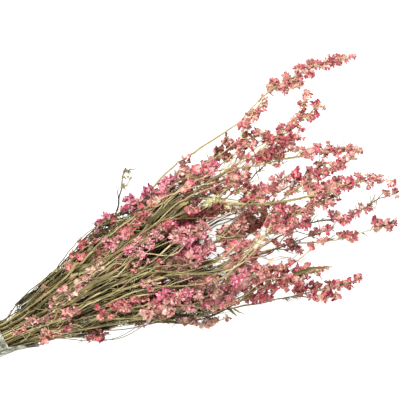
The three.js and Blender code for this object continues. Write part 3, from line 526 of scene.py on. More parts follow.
# Loose florets of the side shoots by their colour, seen from above: X, Y and the group's radius
LOOSE = {
    "rose": [(2, 2, 4), (36, 0, 4), (55, 26, 4), (67, -16, 5), (79, -11, 4), (79, 12, 5), (121, 54, 6),
             (128, -31, 5), (140, -26, 6), (150, 48, 6), (154, -27, 10), (158, 71, 5), (190, -45, 9),
             (192, -61, 6), (204, 80, 5), (221, -46, 9), (227, 85, 6), (247, -97, 5), (251, 39, 9),
             (252, -75, 8), (271, -76, 9), (281, 44, 9), (304, 88, 6), (305, -35, 4), (306, 34, 10),
             (316, 87, 9), (318, -31, 6), (318, 67, 6), (328, -63, 9), (351, 54, 4)],
    "pink": [(64, 2, 5), (75, -24, 6), (93, -3, 4), (105, 13, 4), (126, 19, 6), (171, 52, 10),
             (185, -22, 4), (188, 49, 8), (194, 4, 5), (231, -65, 8), (260, 22, 10), (264, -10, 16),
             (266, 84, 9), (267, 43, 8), (275, 94, 6), (283, 0, 9), (284, 18, 9), (297, 74, 5),
             (306, -57, 12), (331, 82, 8)],
    "blush": [(88, 6, 6), (95, 23, 4), (109, 48, 6), (110, 32, 4), (117, 29, 4), (141, 28, 6),
              (179, -47, 8), (196, -17, 9), (204, -9, 5), (207, -54, 10), (214, -78, 5), (245, -50, 13),
              (253, 76, 6), (269, -61, 9), (297, 99, 6), (304, 108, 5), (335, 4, 8)],
    "coral": [(40, -23, 8), (56, -25, 5), (65, 30, 4), (311, -1, 6)],
    "crimson": [(90, -48, 4), (105, -52, 6), (137, 58, 8), (147, 22, 5), (187, 81, 5), (199, 57, 9),
                (215, 62, 9), (216, 82, 6), (218, -1, 5), (233, 72, 8), (256, 5, 8), (273, -44, 6),
                (285, -87, 5), (288, 52, 9), (358, 23, 8)],
}

# The seed head's fine parts, as (X, Y), and its open pods, as X, Y and radius
SEED_START = 192
SEED_STALK = [(201, 93), (205, 101), (212, 109), (217, 117), (222, 125), (226, 129), (232, 129), (242, 126)]
SEED_TWIGS = [
    [(204, 100), (206, 106), (207, 110), (213, 113)],
    [(218, 112), (223, 113), (227, 116), (231, 119), (234, 125)],
    [(196, 79), (199, 84), (201, 87), (204, 90)],
]
SEED_RADII = (1.3, 0.7)  # of the stalk and of the twigs
SEED_PODS = [
    (218, 111, 5.4), (222, 124, 4.2), (228, 129, 4.2), (232, 127, 3.4), (229, 118, 2.8), (204, 90, 2.4),
]

# Unripe pods on the thick stems: X, Y and radius
PODS = [(308, 46, 4.5), (321, 45, 4.5), (330, 31, 3.2), (349, 44, 3.6), (359, 34, 3)]

# Long pale stems that lie on top of the flowers: their radius, their tone, and their route as (X, Y)
LONG_STEMS = [
    (1.0, 0.6, [(140, 52), (178, 62), (214, 70), (250, 76), (290, 74), (328, 66)]),
    (0.9, 0.5, [(150, 32), (200, 44), (235, 50), (264, 60), (290, 64), (312, 62), (340, 62)]),
    (1.1, 0.4, [(196, -20), (240, -40), (284, -48), (328, -34), (352, -22)]),
    (0.9, 0.7, [(130, -18), (172, -18), (212, -28), (250, -32)]),
    (0.9, 0.8, [(70, -16), (108, -8), (140, -10), (176, -12), (214, -16)]),
    (0.8, 0.7, [(60, 14), (98, 20), (140, 26), (182, 34)]),
    (1.5, 0.2, [(333, 31), (381, 12), (432, -2), (465, -9), (502, -12)]),
]

# Broad dry leaves: their width, their tone from dark to light, and their middle line as (X, Y)
BROAD_LEAVES = [
    (5.0, 0.25, [(219, 54), (246, 59), (275, 61), (308, 56)]),
    (5.5, 0.7, [(312, -8), (328, -10), (348, -14)]),
    (6.0, 0.55, [(106, 11), (127, 14), (153, 15), (179, 10)]),
    (3.4, 0.4, [(271, -87), (276, -94), (280, -105)]),
    (2.6, 0.4, [(278, -91), (286, -100), (290, -107)]),
]

# Thin stems that stray from the bunch, as (X, Y, Z)
STRAYS = [
    [(-20, -10, 8), (26, -16, 9), (59, -36, 9), (104, -60, 10), (130, -65, 10), (174, -63, 12),
     (208, -68, 14)],
    [(-20, -12, 10), (40, -16, 10), (86, -36, 10), (122, -53, 12), (173, -68, 14), (227, -76, 16),
     (281, -84, 18)],
    [(-20, 12, 20), (23, 18, 24), (89, 34, 34), (141, 66, 38), (164, 78, 38), (188, 81, 36)],
    [(-20, 10, 24), (14, 12, 28), (71, 39, 40), (120, 54, 46), (164, 68, 48), (200, 69, 50)],
    [(61, -30, 8), (93, -53, 8), (111, -62, 8), (137, -68, 8), (181, -66, 10), (236, -86, 12),
     (286, -100, 12)],
    [(80, 44, 30), (101, 57, 34), (135, 73, 38), (162, 80, 40), (188, 84, 42), (218, 92, 42)],
]

# Petal colours, as sRGB: the deep tone in the folds and tips, the middle tone, the pale tone at the base,
# and how much of them the faded florets lose
PETALS = {
    "rose": ((134, 34, 54), (196, 86, 103), (230, 170, 166), 0.68),
    "pink": ((160, 48, 88), (216, 108, 135), (240, 190, 193), 0.6),
    "blush": ((160, 70, 80), (212, 138, 138), (236, 208, 194), 0.66),
    "coral": ((150, 54, 58), (205, 113, 108), (232, 180, 166), 0.66),
    "crimson": ((118, 24, 44), (186, 66, 84), (222, 146, 146), 0.5),
    "magenta": ((116, 24, 60), (178, 58, 98), (232, 172, 190), 0.35),
    "dark": ((86, 16, 32), (148, 48, 66), (198, 118, 118), 0.6),
    "husk": ((74, 68, 44), (132, 122, 84), (190, 180, 138), 0.3),
    "pod": ((146, 144, 84), (196, 194, 140), (224, 220, 176), 0.2),
}
PETAL_STOPS = (0.0, 0.17, 0.46, 0.92)  # where the tone is the base's cream, pale, middle and deep
BASE_CREAM = (226, 206, 160)
BASE_SHARES = (0.4, 0.6)  # of the pale tone and of the cream
FADED = (196, 168, 140)
FADE_STOPS = (0.58, 0.86)
STEMS = {
    "straw": ((84, 72, 38), (160, 144, 94), (214, 200, 150)),
    # the olive's deepest tone is near black as painted shade for the shreds and leaves deep in the bunch;
    # its other tones are the dry stems' own colour
    "olive": ((24, 22, 12), (106, 96, 58), (180, 168, 122)),
}
STEM_STOPS = (0.0, 0.45, 0.95)
# painted light on the film: dark crease shade, grey-green, and pale highlight streaks
FILM_PAINTED_LIGHT_TONES = [(0.34, (84, 84, 66)), (0.5, (136, 136, 116)), (0.7, (214, 216, 204))]
BLACK = (0, 0, 0, 1)
WHITE = (1, 1, 1, 1)


# The model's rule


def random(*keys):
    """A repeatable number from 0 to 1 for a list of whole-number keys."""
    mask = 0xFFFFFFFF
    value = SEED
    for key in keys:
        value = ((value ^ ((key + 0x9E3779B9) & mask)) * 0x85EBCA6B) & mask
        value ^= value >> 13
        value = (value * 0xC2B2AE35) & mask
        value ^= value >> 16
    return value / 2**32


def by_chance(least, extra, *keys):
    """The least value, and a part of the extra that the keys decide."""
    return least + extra * random(*keys)


def slope_at(points, index):
    before = points[max(index - 1, 0)]
    after = points[min(index + 1, len(points) - 1)]
    return (after[1:] - before[1:]) / (after[0] - before[0])


def hermite(start, leave, end, arrive, t):
    """The cubic from start to end that leaves and arrives with these slopes, at the share t of the way."""
    return (
        start * (2 * t**3 - 3 * t**2 + 1)
        + leave * (t**3 - 2 * t**2 + t)
        + end * (3 * t**2 - 2 * t**3)
        + arrive * (t**3 - t**2)
    )


def route_at(points, x):
    """Y and Z of a route at X, on a cubic between its points and straight on beyond them."""
    last = len(points) - 1
    if x >= points[last][0]:
        return points[last][1:] + slope_at(points, last) * (x - points[last][0])
    index = 0
    while points[index + 1][0] < x:
        index += 1
    start, end = points[index], points[index + 1]
    span = end[0] - start[0]
    leave, arrive = slope_at(points, index) * span, slope_at(points, index + 1) * span
    return hermite(start[1:], leave, end[1:], arrive, (x - start[0]) / span)


def foot_place(spray):
    y = (spray["column"] - (spray["columns"] - 1) / 2) * FOOT_PITCH
    z = LOWEST_FOOT + spray["row"] * FOOT_PITCH * math.sqrt(0.75)
    return y, z


def radius_along(radius, start, end, is_main, x):
    """A stem's radius at X: it thins towards its tip, and a main stem starts as thick as its foot."""
    along = np.maximum(0, (x - start) / (end - start))
    slim = radius + (TIP_RADIUS - radius) * along**STEM_TAPER
    main = FOOT_RADIUS + (slim - FOOT_RADIUS) * np.clip(x / STATION, 0, 1)
    return np.where(is_main, main, slim)


class Stem:
    """A main stem, or a side shoot with its parent: where it stands at each station along the bunch."""

    def __init__(self, index, first, radius, route, runs, parent=None):
        self.index = index
        self.first = first
        self.radius = radius
        self.runs = runs
        self.parent = parent
        start = parent.places[first - parent.first] if parent else foot_place(SPRAYS[index])
        points = np.array([(first * STATION, *start), *route], dtype=float)
        self.end = points[-1][0]
        count = math.ceil(self.end / STATION) - first + 1
        self.wanted = np.array([route_at(points, (first + step) * STATION) for step in range(count)])
        self.places = self.wanted.copy()

    def radius_at(self, x):
        return radius_along(self.radius, self.first * STATION, self.end, self.parent is None, x)

    def station_at(self, x):
        """The last station before X, counted from the stem's first, and the share of the way to the next."""
        k = min(math.floor(x / STATION) - self.first, len(self.places) - 2)
        return k, x / STATION - self.first - k

    def axis(self, x):
        """A point on the axis, on straight lines between the stations."""
        if x < 0:
            y, z = self.places[0]
            spread = 1 - FOOT_SPLAY * x / FOOT_LENGTH
            return np.array([x, y * spread, LOWEST_FOOT + (z - LOWEST_FOOT) * spread])
        k, t = self.station_at(x)
        return np.array([x, *(self.places[k] * (1 - t) + self.places[k + 1] * t)])

    def smooth(self, x):
        """The same axis as a smooth curve."""
        if x < 0:
            return self.axis(x)
        k, t = self.station_at(x)
        last = len(self.places) - 1
        start, end = self.places[k], self.places[k + 1]
        leave = (end - self.places[max(k - 1, 0)]) / (2 if k > 0 else 1)
        arrive = (self.places[min(k + 2, last)] - start) / (2 if k + 2 <= last else 1)
        return np.array([x, *hermite(start, leave, end, arrive, t)])

    def foot(self):
        return -(FOOT_LENGTH + FOOT_SPARE * random(self.index, 1))

    def ring_places(self):
        """Where the model's plain stem has its rings, from its first station on."""
        xs = list(np.arange(self.first * STATION, self.end - STATION / 4, STATION)) + [self.end]
        kept = [xs[0]]
        for index in range(1, len(xs) - 1):
            skipped = [x for x in xs if kept[-1] < x <= xs[index]]
            if xs[index] == STATION or not self.is_straight(kept[-1], xs[index + 1], skipped):
                kept.append(xs[index])
        kept.append(self.end)
        return kept if self.parent else [self.foot(), *kept]

    def is_straight(self, start, end, between):
        near, far = self.axis(start), self.axis(end)
        chords = [near + (far - near) * (x - start) / (end - start) for x in between]
        offs = [np.linalg.norm(chord - self.axis(x)) for chord, x in zip(chords, between)]
        return all(off < STRAIGHT_WITHIN for off in offs)


def station_pairs(stems, offsets):
    """Pairs of two sprays' stems at each station that both pass: the stems, their places, the station."""
    rows = []
    last = max(stem.first + len(stem.places) - 1 for stem in stems)
    for station in range(last):
        here = [k for k, stem in enumerate(stems) if 0 <= station - stem.first < len(stem.places) - 1]
        for order, a in enumerate(here):
            for b in here[order + 1 :]:
                if stems[a].index != stems[b].index:
                    near = [offsets[k] + station - stems[k].first for k in (a, b)]
                    rows.append((a, b, *near, station))
    return np.array(rows).T


def keep_apart(stems):
    """Moves stems sideways until no two sprays' stems come too close between their stations."""
    passed = [stem.first + np.arange(len(stem.places)) for stem in stems]
    radii = np.concatenate([stem.radius_at(row * STATION) for stem, row in zip(stems, passed)])
    low = np.where(np.concatenate(passed) <= 1, FILM_THICKNESS + FILM_GAP, FLOOR_GAP) + radii
    wanted = np.concatenate([stem.wanted for stem in stems])
    places = wanted.copy()
    counts = [len(row) for row in passed]
    offsets = np.cumsum([0, *counts[:-1]])
    is_first = np.zeros(len(places), dtype=bool)
    is_first[offsets] = True
    before = np.arange(len(places)) - 1
    after = np.arange(len(places)) + 1
    after[offsets + np.array(counts) - 1] -= 1
    a, b, near_a, near_b, station = station_pairs(stems, offsets)
    start = np.array([stem.first * STATION for stem in stems])
    end = np.array([stem.end for stem in stems])
    thick = np.array([stem.radius for stem in stems])
    is_main = np.array([stem.parent is None for stem in stems])

    def room_at(k, x):
        return radius_along(thick[k], start[k], end[k], is_main[k], x)

    for turn in range(PUSH_ROUNDS):
        near = places[near_b] - places[near_a]
        bend = places[near_b + 1] - places[near_a + 1] - near
        length = (bend**2).sum(axis=1)
        t = np.clip(-(near * bend).sum(axis=1) / np.maximum(length, 1e-12), 0, 1)
        apart = near + bend * t[:, None]
        distance = np.hypot(*apart.T)
        x = (station + t) * STATION
        room = room_at(a, x) + room_at(b, x) + STEM_GAP
        close = distance < room
        away = apart[close] / np.maximum(distance[close], TOUCHING)[:, None]
        away[distance[close] <= TOUCHING] = (0, 1)
        short = ((room - distance)[close] * PUSH_SHARE / 2)[:, None] * away
        pushes = np.zeros_like(places)
        for step, share in ((0, 1 - t[close]), (1, t[close])):
            move = short * (share / ((1 - t[close]) ** 2 + t[close] ** 2))[:, None]
            np.add.at(pushes, near_a[close] + step, -move)
            np.add.at(pushes, near_b[close] + step, move)
        smooth = SMOOTHING if turn < PUSH_ROUNDS / 2 else 0
        offset = places - wanted
        moved = places + pushes + smooth * (offset[before] - 2 * offset + offset[after])
        moved[:, 1] = np.maximum(moved[:, 1], low)
        places = np.where(is_first[:, None], places, moved)
        for stem, at in zip(stems, offsets):
            if stem.parent:
                parent = offsets[stems.index(stem.parent)]
                places[at] = places[parent + stem.first - stem.parent.first]
    for stem, at, count in zip(stems, offsets, counts):
        stem.places = places[at : at + count]


class Crowd:
    """Balls and rods that the florets and leaves of other sprays keep clear of."""

    def __init__(self):
        self.rods = np.zeros((CROWD_ROOM, 8))
        self.count = 0

    def add(self, spray, start, end, radius):
        self.rods[self.count] = (spray, *start, *end, radius)
        self.count += 1

    def is_clear(self, spray, start, end, radius):
        rods = self.rods[: self.count]
        rods = rods[rods[:, 0] != spray]
        steps = max(1, math.ceil(np.linalg.norm(end - start) / 2))
        shares = np.linspace(0, 1, steps + 1)[:, None]
        places = start + (end - start) * shares
        delta = rods[:, 4:7] - rods[:, 1:4]
        length = (delta**2).sum(axis=1)
        from_start = places[:, None] - rods[None, :, 1:4]
        t = np.clip((from_start * delta).sum(axis=2) / np.where(length > 0, length, 1), 0, 1)
        gaps = np.linalg.norm(from_start - delta * t[:, :, None], axis=2).min(axis=0)
        return bool((gaps >= radius + rods[:, 7] + FLORET_GAP).all())


def place_cluster(stem, run, number, keys, clusters, crowd):
    """The root, middle and radius of one of the model's florets, or nothing where it has no room."""
    start, end, count, reach, radius, (middle, half_width) = run
    share = (number + 0.5) / count
    taper = 1 - FLORET_TAPER * share**2
    root = stem.axis(min(start + (end - start) * share, stem.end - 1))
    for attempt in range(TRIES):
        golden = (number + attempt * TRY_TURN) * GOLDEN_ANGLE + random(*keys, 6) * FIRST_TURN
        swing = ((golden / math.pi) % 2) - 1
        angle = math.radians(middle) + swing * math.radians(half_width)
        ball = radius * taper * (1 - TRY_SHRINK * attempt) * by_chance(*FLORET_SIZE, *keys, 7)
        off = max(reach * taper * by_chance(*FLORET_REACH, *keys, 8, attempt), ball * LEAST_REACH)
        centre = root + off * np.array([FLORET_LEAN, math.cos(angle), math.sin(angle)])
        is_spaced = all(
            np.linalg.norm(centre - other["centre"]) >= OWN_SPACING * (ball + other["radius"])
            for other in clusters[stem.index]
        )
        if (
            centre[2] > ball * LEAST_HEIGHT
            and is_spaced
            and crowd.is_clear(stem.index, centre, centre, ball)
            and crowd.is_clear(stem.index, root, centre, FUNNEL_RADIUS)
        ):
            return dict(root=root, centre=centre, radius=ball, stem=stem)
    return None


def place_leaf(stem, number, crowd):
    """The root, middle and tip of one of the model's leaves and its direction off the stem, or nothing."""
    wished = SPRAYS[stem.index]["leaves"]
    low, high = LEAF_PLACES
    for attempt in range(TRIES):
        keys = (stem.index, number, attempt)
        if wished:
            x, degrees, length = wished[number]
        else:
            x = min(stem.end - LEAF_FREE, by_chance(low, high - low, *keys, 10))
            degrees = 360 * random(*keys, 11)
            length = LEAF_LENGTH * by_chance(*LEAF_SIZE, *keys, 12)
        angle = math.radians(degrees)
        root = stem.axis(x)
        out = np.array([0, math.cos(angle), math.sin(angle)])
        ahead = unit(stem.axis(min(x + length, stem.end)) - root)
        middle = root + ahead * length * 0.5 + out * length * LEAF_RISE[0]
        tip = root + ahead * length + out * length * LEAF_RISE[1]
        halves = ((root, middle), (middle, tip))
        is_free = all(crowd.is_clear(stem.index, *half, LEAF_ROOM) for half in halves)
        if is_free and min(middle[2], tip[2]) > LEAF_ROOM:
            return root, middle, tip, out
    return None


# Meshes


def unit(vectors):
    return vectors / np.maximum(np.linalg.norm(vectors, axis=-1, keepdims=True), 1e-9)


def looks_of(along, own, second):
    """What a material reads at each point: the share of the way along its piece, and two tones."""
    return np.stack(np.broadcast_arrays(along, own, second), axis=-1)


def add_object(name, data):
    made = bpy.data.objects.new(name, data)
    bpy.context.scene.collection.objects.link(made)
    return made


class Shape:
    """Triangles gathered for one mesh, with three numbers at each point that its material reads."""

    def __init__(self):
        self.points, self.faces, self.looks = [], [], []
        self.count = 0

    def add(self, points, faces, looks):
        """Adds copies of one set of triangles: points and looks are (copies, points, 3) or one copy's."""
        points = np.asarray(points, dtype=float)
        points = points.reshape(-1, *points.shape[-2:])
        looks = np.broadcast_to(looks, points.shape)
        copies, size = points.shape[:2]
        starts = self.count + size * np.arange(copies)
        self.points.append(points.reshape(-1, 3))
        self.looks.append(looks.reshape(-1, 3))
        self.faces.append((np.asarray(faces)[None] + starts[:, None, None]).reshape(-1, 3))
        self.count += copies * size

    def gathered(self):
        return np.concatenate(self.points), np.concatenate(self.faces), np.concatenate(self.looks)

    def piece(self, name, material, slot, nodes=(), sharp=SHARP_ANGLE):
        """One mesh object of all the triangles, which hides the nodes that it replaces. Its slot is not
        used.
        """
        points, faces, looks = self.gathered()
        points *= MM
        points[:, 2] = np.maximum(points[:, 2], 0)
        mesh = bpy.data.meshes.new(name)
        mesh.vertices.add(len(points))
        mesh.vertices.foreach_set("co", points.ravel())
        mesh.loops.add(faces.size)
        mesh.loops.foreach_set("vertex_index", faces.ravel())
        mesh.polygons.add(len(faces))
        mesh.polygons.foreach_set("loop_start", np.arange(0, faces.size, 3))
        mesh.polygons.foreach_set("loop_total", np.full(len(faces), 3))
        mesh.update(calc_edges=True)
        look = mesh.attributes.new("look", "FLOAT_COLOR", "POINT")
        look.data.foreach_set("color", np.concatenate([looks, np.ones((len(looks), 1))], axis=1).ravel())
        mesh.polygons.foreach_set("use_smooth", np.ones(len(faces), dtype=bool))
        mesh.set_sharp_from_angle(angle=math.radians(sharp))
        mesh.materials.append(material)
        made = add_object(name, mesh)
        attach(made, "root")
        if nodes:
            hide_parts(*nodes)


def tube_faces(rings, sides):
    """Triangles of a closed tube whose points run ring by ring."""
    faces = []
    for ring in range(rings - 1):
        for side in range(sides):
            a, b = ring * sides + side, ring * sides + (side + 1) % sides
            faces += [(a, b, b + sides), (a, b + sides, a + sides)]
    top = (rings - 1) * sides
    for side in range(1, sides - 1):
        faces += [(0, side + 1, side), (top, top + side, top + side + 1)]
    return np.array(faces)


def add_tubes(shape, paths, radii, sides, looks):
    """Closed tubes with one count of rings, or a single one: a point, a radius and a look for each ring."""
    paths, radii = np.asarray(paths, dtype=float), np.atleast_2d(np.asarray(radii, dtype=float))
    paths = paths.reshape(-1, *paths.shape[-2:])
    tangents = unit(np.gradient(paths, axis=1))
    chord = unit(paths[:, -1] - paths[:, 0])
    helper = np.where(np.abs(chord[:, 2:3]) < UPRIGHT[0], [[0.0, 0.0, 1.0]], [[0.0, 1.0, 0.0]])
    across = unit(np.cross(tangents, np.broadcast_to(helper[:, None], tangents.shape)))
    up = np.cross(across, tangents)
    angles = 2 * math.pi * np.arange(sides) / sides
    ring = across[:, :, None] * np.cos(angles)[:, None] + up[:, :, None] * np.sin(angles)[:, None]
    points = paths[:, :, None] + ring * radii[:, :, None, None]
    copies, rings = radii.shape
    looks = np.repeat(np.broadcast_to(looks, (copies, rings, 3)), sides, axis=1)
    shape.add(points.reshape(copies, -1, 3), tube_faces(rings, sides)[:, ::-1], looks)


def sheet_faces(along, across):
    """Triangles of a thin closed sheet: its front points row by row, then its back points."""
    size = (along + 1) * (across + 1)
    faces = []
    for row in range(along):
        for column in range(across):
            a = row * (across + 1) + column
            b, c, d = a + 1, a + across + 2, a + across + 1
            faces += [(a, b, c), (a, c, d), (size + a, size + c, size + b), (size + a, size + d, size + c)]
    rim = [row * (across + 1) for row in range(along + 1)]
    rim += [along * (across + 1) + column for column in range(1, across + 1)]
    rim += [row * (across + 1) + across for row in range(along - 1, -1, -1)]
    rim += [column for column in range(across - 1, 0, -1)]
    for a, b in zip(rim, rim[1:] + rim[:1]):
        faces += [(a, b, size + b), (a, size + b, size + a)]
    return np.array(faces)


def sheet_points(front, thickness):
    """The points of a thin closed sheet from its front grid, (along, across, 3)."""
    normals = unit(np.cross(np.gradient(front, axis=1), np.gradient(front, axis=0)))
    back = front - normals * thickness
    return np.concatenate([front.reshape(-1, 3), back.reshape(-1, 3)])


def outline(t, start, share, lateness, bluntness):
    """The width of a petal or leaf along its length: a part of an arch, at most 1."""
    return np.sin(math.pi * np.clip(start + share * t**lateness, 0, 1)) ** bluntness


def bent_path(start, middle, end, t):
    return (1 - t) ** 2 * start + 2 * t * (1 - t) * middle + t**2 * end


def petal_points(draw, length, width, rows, lean, cup):
    """A crumpled petal that leaves the middle along +X, leans up from it by an angle and cups on its way."""
    t = np.linspace(0, 1, rows + 1)[:, None]
    s = np.linspace(-1, 1, 3)[None, :]
    half = 0.5 * width * outline(t, *PETAL_ARCH)
    angle = lean + cup * t + draw.normal(0, PETAL_WOBBLE)
    out = (np.cumsum(np.cos(angle), axis=0) - np.cos(angle[0])) / rows * length
    rise = (np.cumsum(np.sin(angle), axis=0) - np.sin(angle[0])) / rows * length
    twist = draw.normal(0, PETAL_TWIST) * t
    fold = draw.uniform(*PETAL_FOLD) * half * np.abs(s)
    y = half * s * np.cos(twist) - fold * np.sin(twist)
    z = rise + half * s * np.sin(twist) + fold * np.cos(twist)
    grid = np.stack([out + 0 * s, y, z], axis=-1)
    grid += draw.normal(0, PETAL_CRUMPLE * width, grid.shape) * t[:, :, None] ** 0.5
    normals = unit(np.cross(np.gradient(grid, axis=1), np.gradient(grid, axis=0)))
    back = grid[1:-1, 1] - normals[1:-1, 1] * PETAL_THICKNESS / FLORET_RADIUS
    return np.concatenate([grid.reshape(-1, 3), back])


def petal_faces(rows):
    """Triangles of a petal: a grid of three columns, and a back that shares the rim with the front."""
    faces = []
    is_inner = [0 < k // 3 < rows and k % 3 == 1 for k in range(3 * (rows + 1))]
    behind = [3 * (rows + 1) + k // 3 - 1 if is_inner[k] else k for k in range(3 * (rows + 1))]
    for row in range(rows):
        for column in range(2):
            a = 3 * row + column
            b, c, d = a + 1, a + 4, a + 3
            both = [(a, b, c), (a, c, d)] if is_inner[a] or is_inner[c] else [(a, b, d), (b, c, d)]
            faces += both
            faces += [(behind[p], behind[r], behind[q]) for p, q, r in both]
    return faces


def turned(points, angle):
    c, s = math.cos(angle), math.sin(angle)
    return points @ np.array([[c, s, 0], [-s, c, 0], [0, 0, 1]])


def add_petal(kind, draw, angle, length, width, rows, lean, cup, base=0.1):
    """One petal of a floret. Its look runs from base, pale, at the middle to 1 at the tip."""
    points = turned(petal_points(draw, length, width, rows, lean, cup), angle)
    along = np.repeat(np.linspace(base, 1, rows + 1), 3)
    along = np.concatenate([along, along[4:-3:3]])
    kind.add(points, petal_faces(rows), looks_of(along, draw.uniform(), draw.uniform()))


def single_kind(draw):
    """A crumpled floret of radius 1 that faces +Z: broad petals, an eye of small pale ones and a spur."""
    kind = Shape()
    closed = draw.uniform(*SINGLE_LEAN)
    for petal in range(BROAD_PETALS):
        angle = 2 * math.pi * (petal + draw.uniform(-BROAD_STRAY, BROAD_STRAY)) / BROAD_PETALS
        lean = closed + draw.normal(0, LEAN_SPREAD[0])
        length, width = draw.uniform(*BROAD_LENGTH), draw.uniform(*BROAD_WIDTH)
        add_petal(kind, draw, angle, length, width, rows=4, lean=lean, cup=draw.uniform(*BROAD_CUP))
    for petal in range(2):
        angle = math.pi * (petal + draw.uniform(-SMALL_STRAY, SMALL_STRAY))
        length = draw.uniform(*EYE_LENGTH)
        add_petal(kind, draw, angle, length, width=0.3, rows=2, lean=1.1, cup=0.3, base=-0.4)
    bend = draw.uniform(-SPUR_BEND, SPUR_BEND, 2)
    t = np.linspace(0, 1, len(SPUR_PROFILE))
    spur = np.stack([bend[0] * t**2, bend[1] * t**2, -0.05 - SPUR_LENGTH * t], axis=1)
    add_tubes(kind, spur, SPUR_PROFILE, sides=3, looks=looks_of(0.5 - 0.4 * t, 0.5, 0.6))
    return kind.gathered()


def double_kind(draw):
    """A double floret of radius 1 that faces +Z: two layers of narrow crumpled petals."""
    kind = Shape()
    for layer, (count, reach, upright) in enumerate(DOUBLE_LAYERS):
        for petal in range(count):
            angle = 2 * math.pi * (petal + 0.5 * layer + draw.uniform(-SMALL_STRAY, SMALL_STRAY)) / count
            length, width = reach * draw.uniform(*NARROW_LENGTH), draw.uniform(*NARROW_WIDTH)
            lean = upright + draw.normal(0, LEAN_SPREAD[1])
            add_petal(kind, draw, angle, length, width, rows=3, lean=lean, cup=draw.uniform(*NARROW_CUP))
    return kind.gathered()


def bud_kind(draw):
    """A closed bud of radius 1 along +Z, with ridges."""
    t = np.linspace(0, 1, len(BUD_PROFILE))
    axis = np.stack([BUD_BEND * np.sin(2.5 * t), 0 * t, BUD_LENGTH * t - 0.4], axis=1)
    kind = Shape()
    looks = looks_of(0.2 + 0.6 * t, draw.uniform(), draw.uniform())
    add_tubes(kind, axis, BUD_PROFILE, sides=6, looks=looks)
    points, faces, looks = kind.gathered()
    return points + draw.normal(0, BUD_CRUMPLE, points.shape), faces, looks


def facing(out, spin):
    """Rotations, as (copies, 3, 3), that take +Z to the directions out after a spin about it."""
    out = unit(out)
    helper = np.where(np.abs(out[:, 2:3]) < UPRIGHT[1], [[0.0, 0.0, 1.0]], [[1.0, 0.0, 0.0]])
    side = unit(np.cross(helper, out))
    up = np.cross(out, side)
    c, s = np.cos(spin)[:, None], np.sin(spin)[:, None]
    return np.stack([side * c + up * s, up * c - side * s, out], axis=2)


def add_copies(shape, kinds, places, outs, sizes, tints, draw):
    """Adds a copy of one of the kinds at each place, facing out and turned by chance, sized and tinted."""
    picks = draw.integers(0, len(kinds), len(places))
    turns = facing(outs, draw.uniform(0, 2 * math.pi, len(places)))
    fades = draw.uniform(0, 1, len(places))
    for pick, (points, faces, looks) in enumerate(kinds):
        mine = picks == pick
        if not mine.any():
            continue
        placed = np.einsum("cij,pj->cpi", turns[mine], points) * sizes[mine][:, None, None]
        placed += places[mine][:, None]
        own = np.repeat(looks[None], mine.sum(), axis=0)
        for channel, (share, rest), values in ((1, TINT_SHARES, tints), (2, FADE_SHARES, fades)):
            own[:, :, channel] = share * own[:, :, channel] + rest * values[mine][:, None]
        shape.add(placed, faces, own)


def add_stalks(shape, starts, ends, radii, sag, tint):
    """Thin curved stalks, each from its start to its end, with the radii of its ends, bent by its sag."""
    t = np.linspace(0, 1, STALK_RINGS)[None, :, None]
    middle = (starts + ends) / 2 + sag
    paths = bent_path(starts[:, None], middle[:, None], ends[:, None], t)
    along = t[:, :, 0]
    thick = radii[0] + (radii[1] - radii[0]) * along * np.ones((len(starts), 1))
    looks = looks_of(STALK_TONES[0] + STALK_TONES[1] * along, tint[:, None], 0.5)
    add_tubes(shape, paths, thick, STALK_SIDES, looks)


# Materials


def linear(colour):
    """An sRGB colour of whole numbers as the shaders want it."""
    shares = [value / 255 for value in colour]
    return (*[c / 12.92 if c <= 0.04045 else ((c + 0.055) / 1.055) ** 2.4 for c in shares], 1)


class Nodes:
    """A short way to lay out a material's nodes."""

    def __init__(self, name):
        self.material = bpy.data.materials.new(name)
        self.material.use_nodes = True
        self.tree = self.material.node_tree

    def add(self, kind, inputs=(), **settings):
        node = self.tree.nodes.new(kind)
        for key, value in settings.items():
            setattr(node, key, value)
        self.fill(node, inputs)
        return node

    def fill(self, node, inputs):
        """Sets a node's inputs, each to a number or colour or to what another node gives out."""
        for name, value in dict(inputs).items():
            if isinstance(value, bpy.types.NodeSocket):
                self.tree.links.new(value, node.inputs[name])
            else:
                node.inputs[name].default_value = value

    def look(self):
        """The three numbers that a shape holds at each of its points."""
        attribute = self.add("ShaderNodeAttribute", attribute_name="look")
        return self.add("ShaderNodeSeparateColor", {"Color": attribute.outputs["Color"]}).outputs[:3]

    def ramp(self, value, stops):
        ramp = self.add("ShaderNodeValToRGB", {"Fac": value})
        stops = list(stops)
        while len(ramp.color_ramp.elements) < len(stops):
            ramp.color_ramp.elements.new(0.5)
        for element, (place, colour) in zip(ramp.color_ramp.elements, stops):
            element.position = place
            element.color = colour
        return ramp.outputs["Color"]

    def noise(self, scale, detail=3, stretch=(1, 1, 1)):
        place = self.add("ShaderNodeTexCoord").outputs["Object"]
        vector = self.add("ShaderNodeMapping", {"Vector": place, "Scale": stretch}).outputs["Vector"]
        inputs = {"Vector": vector, "Scale": scale, "Detail": detail}
        return self.add("ShaderNodeTexNoise", inputs).outputs["Fac"]

    def mix(self, share, first, second):
        inputs = {"Factor": share, "A": first, "B": second}
        return self.add("ShaderNodeMix", inputs, data_type="RGBA").outputs["Result"]

    def tone(self, *parts):
        """A sum of values, each less its middle and times its weight, kept from 0 to 1."""
        total = 0.0
        for value, middle, weight in parts:
            less = self.add("ShaderNodeMath", {0: value, 1: middle}, operation="SUBTRACT").outputs[0]
            part = self.add("ShaderNodeMath", {0: less, 1: weight}, operation="MULTIPLY").outputs[0]
            total = self.add("ShaderNodeMath", {0: total, 1: part}, operation="ADD").outputs[0]
        total.node.use_clamp = True
        return total

    def surface(self, inputs, bump=None, strength=0.0, distance=0.0):
        """Sets the shader's inputs and its bumps, and hands over the material."""
        shader = self.tree.nodes["Principled BSDF"]
        self.fill(shader, inputs)
        if bump:
            height = {"Height": bump, "Strength": strength, "Distance": distance}
            self.fill(shader, {"Normal": self.add("ShaderNodeBump", height).outputs["Normal"]})
        return self.material


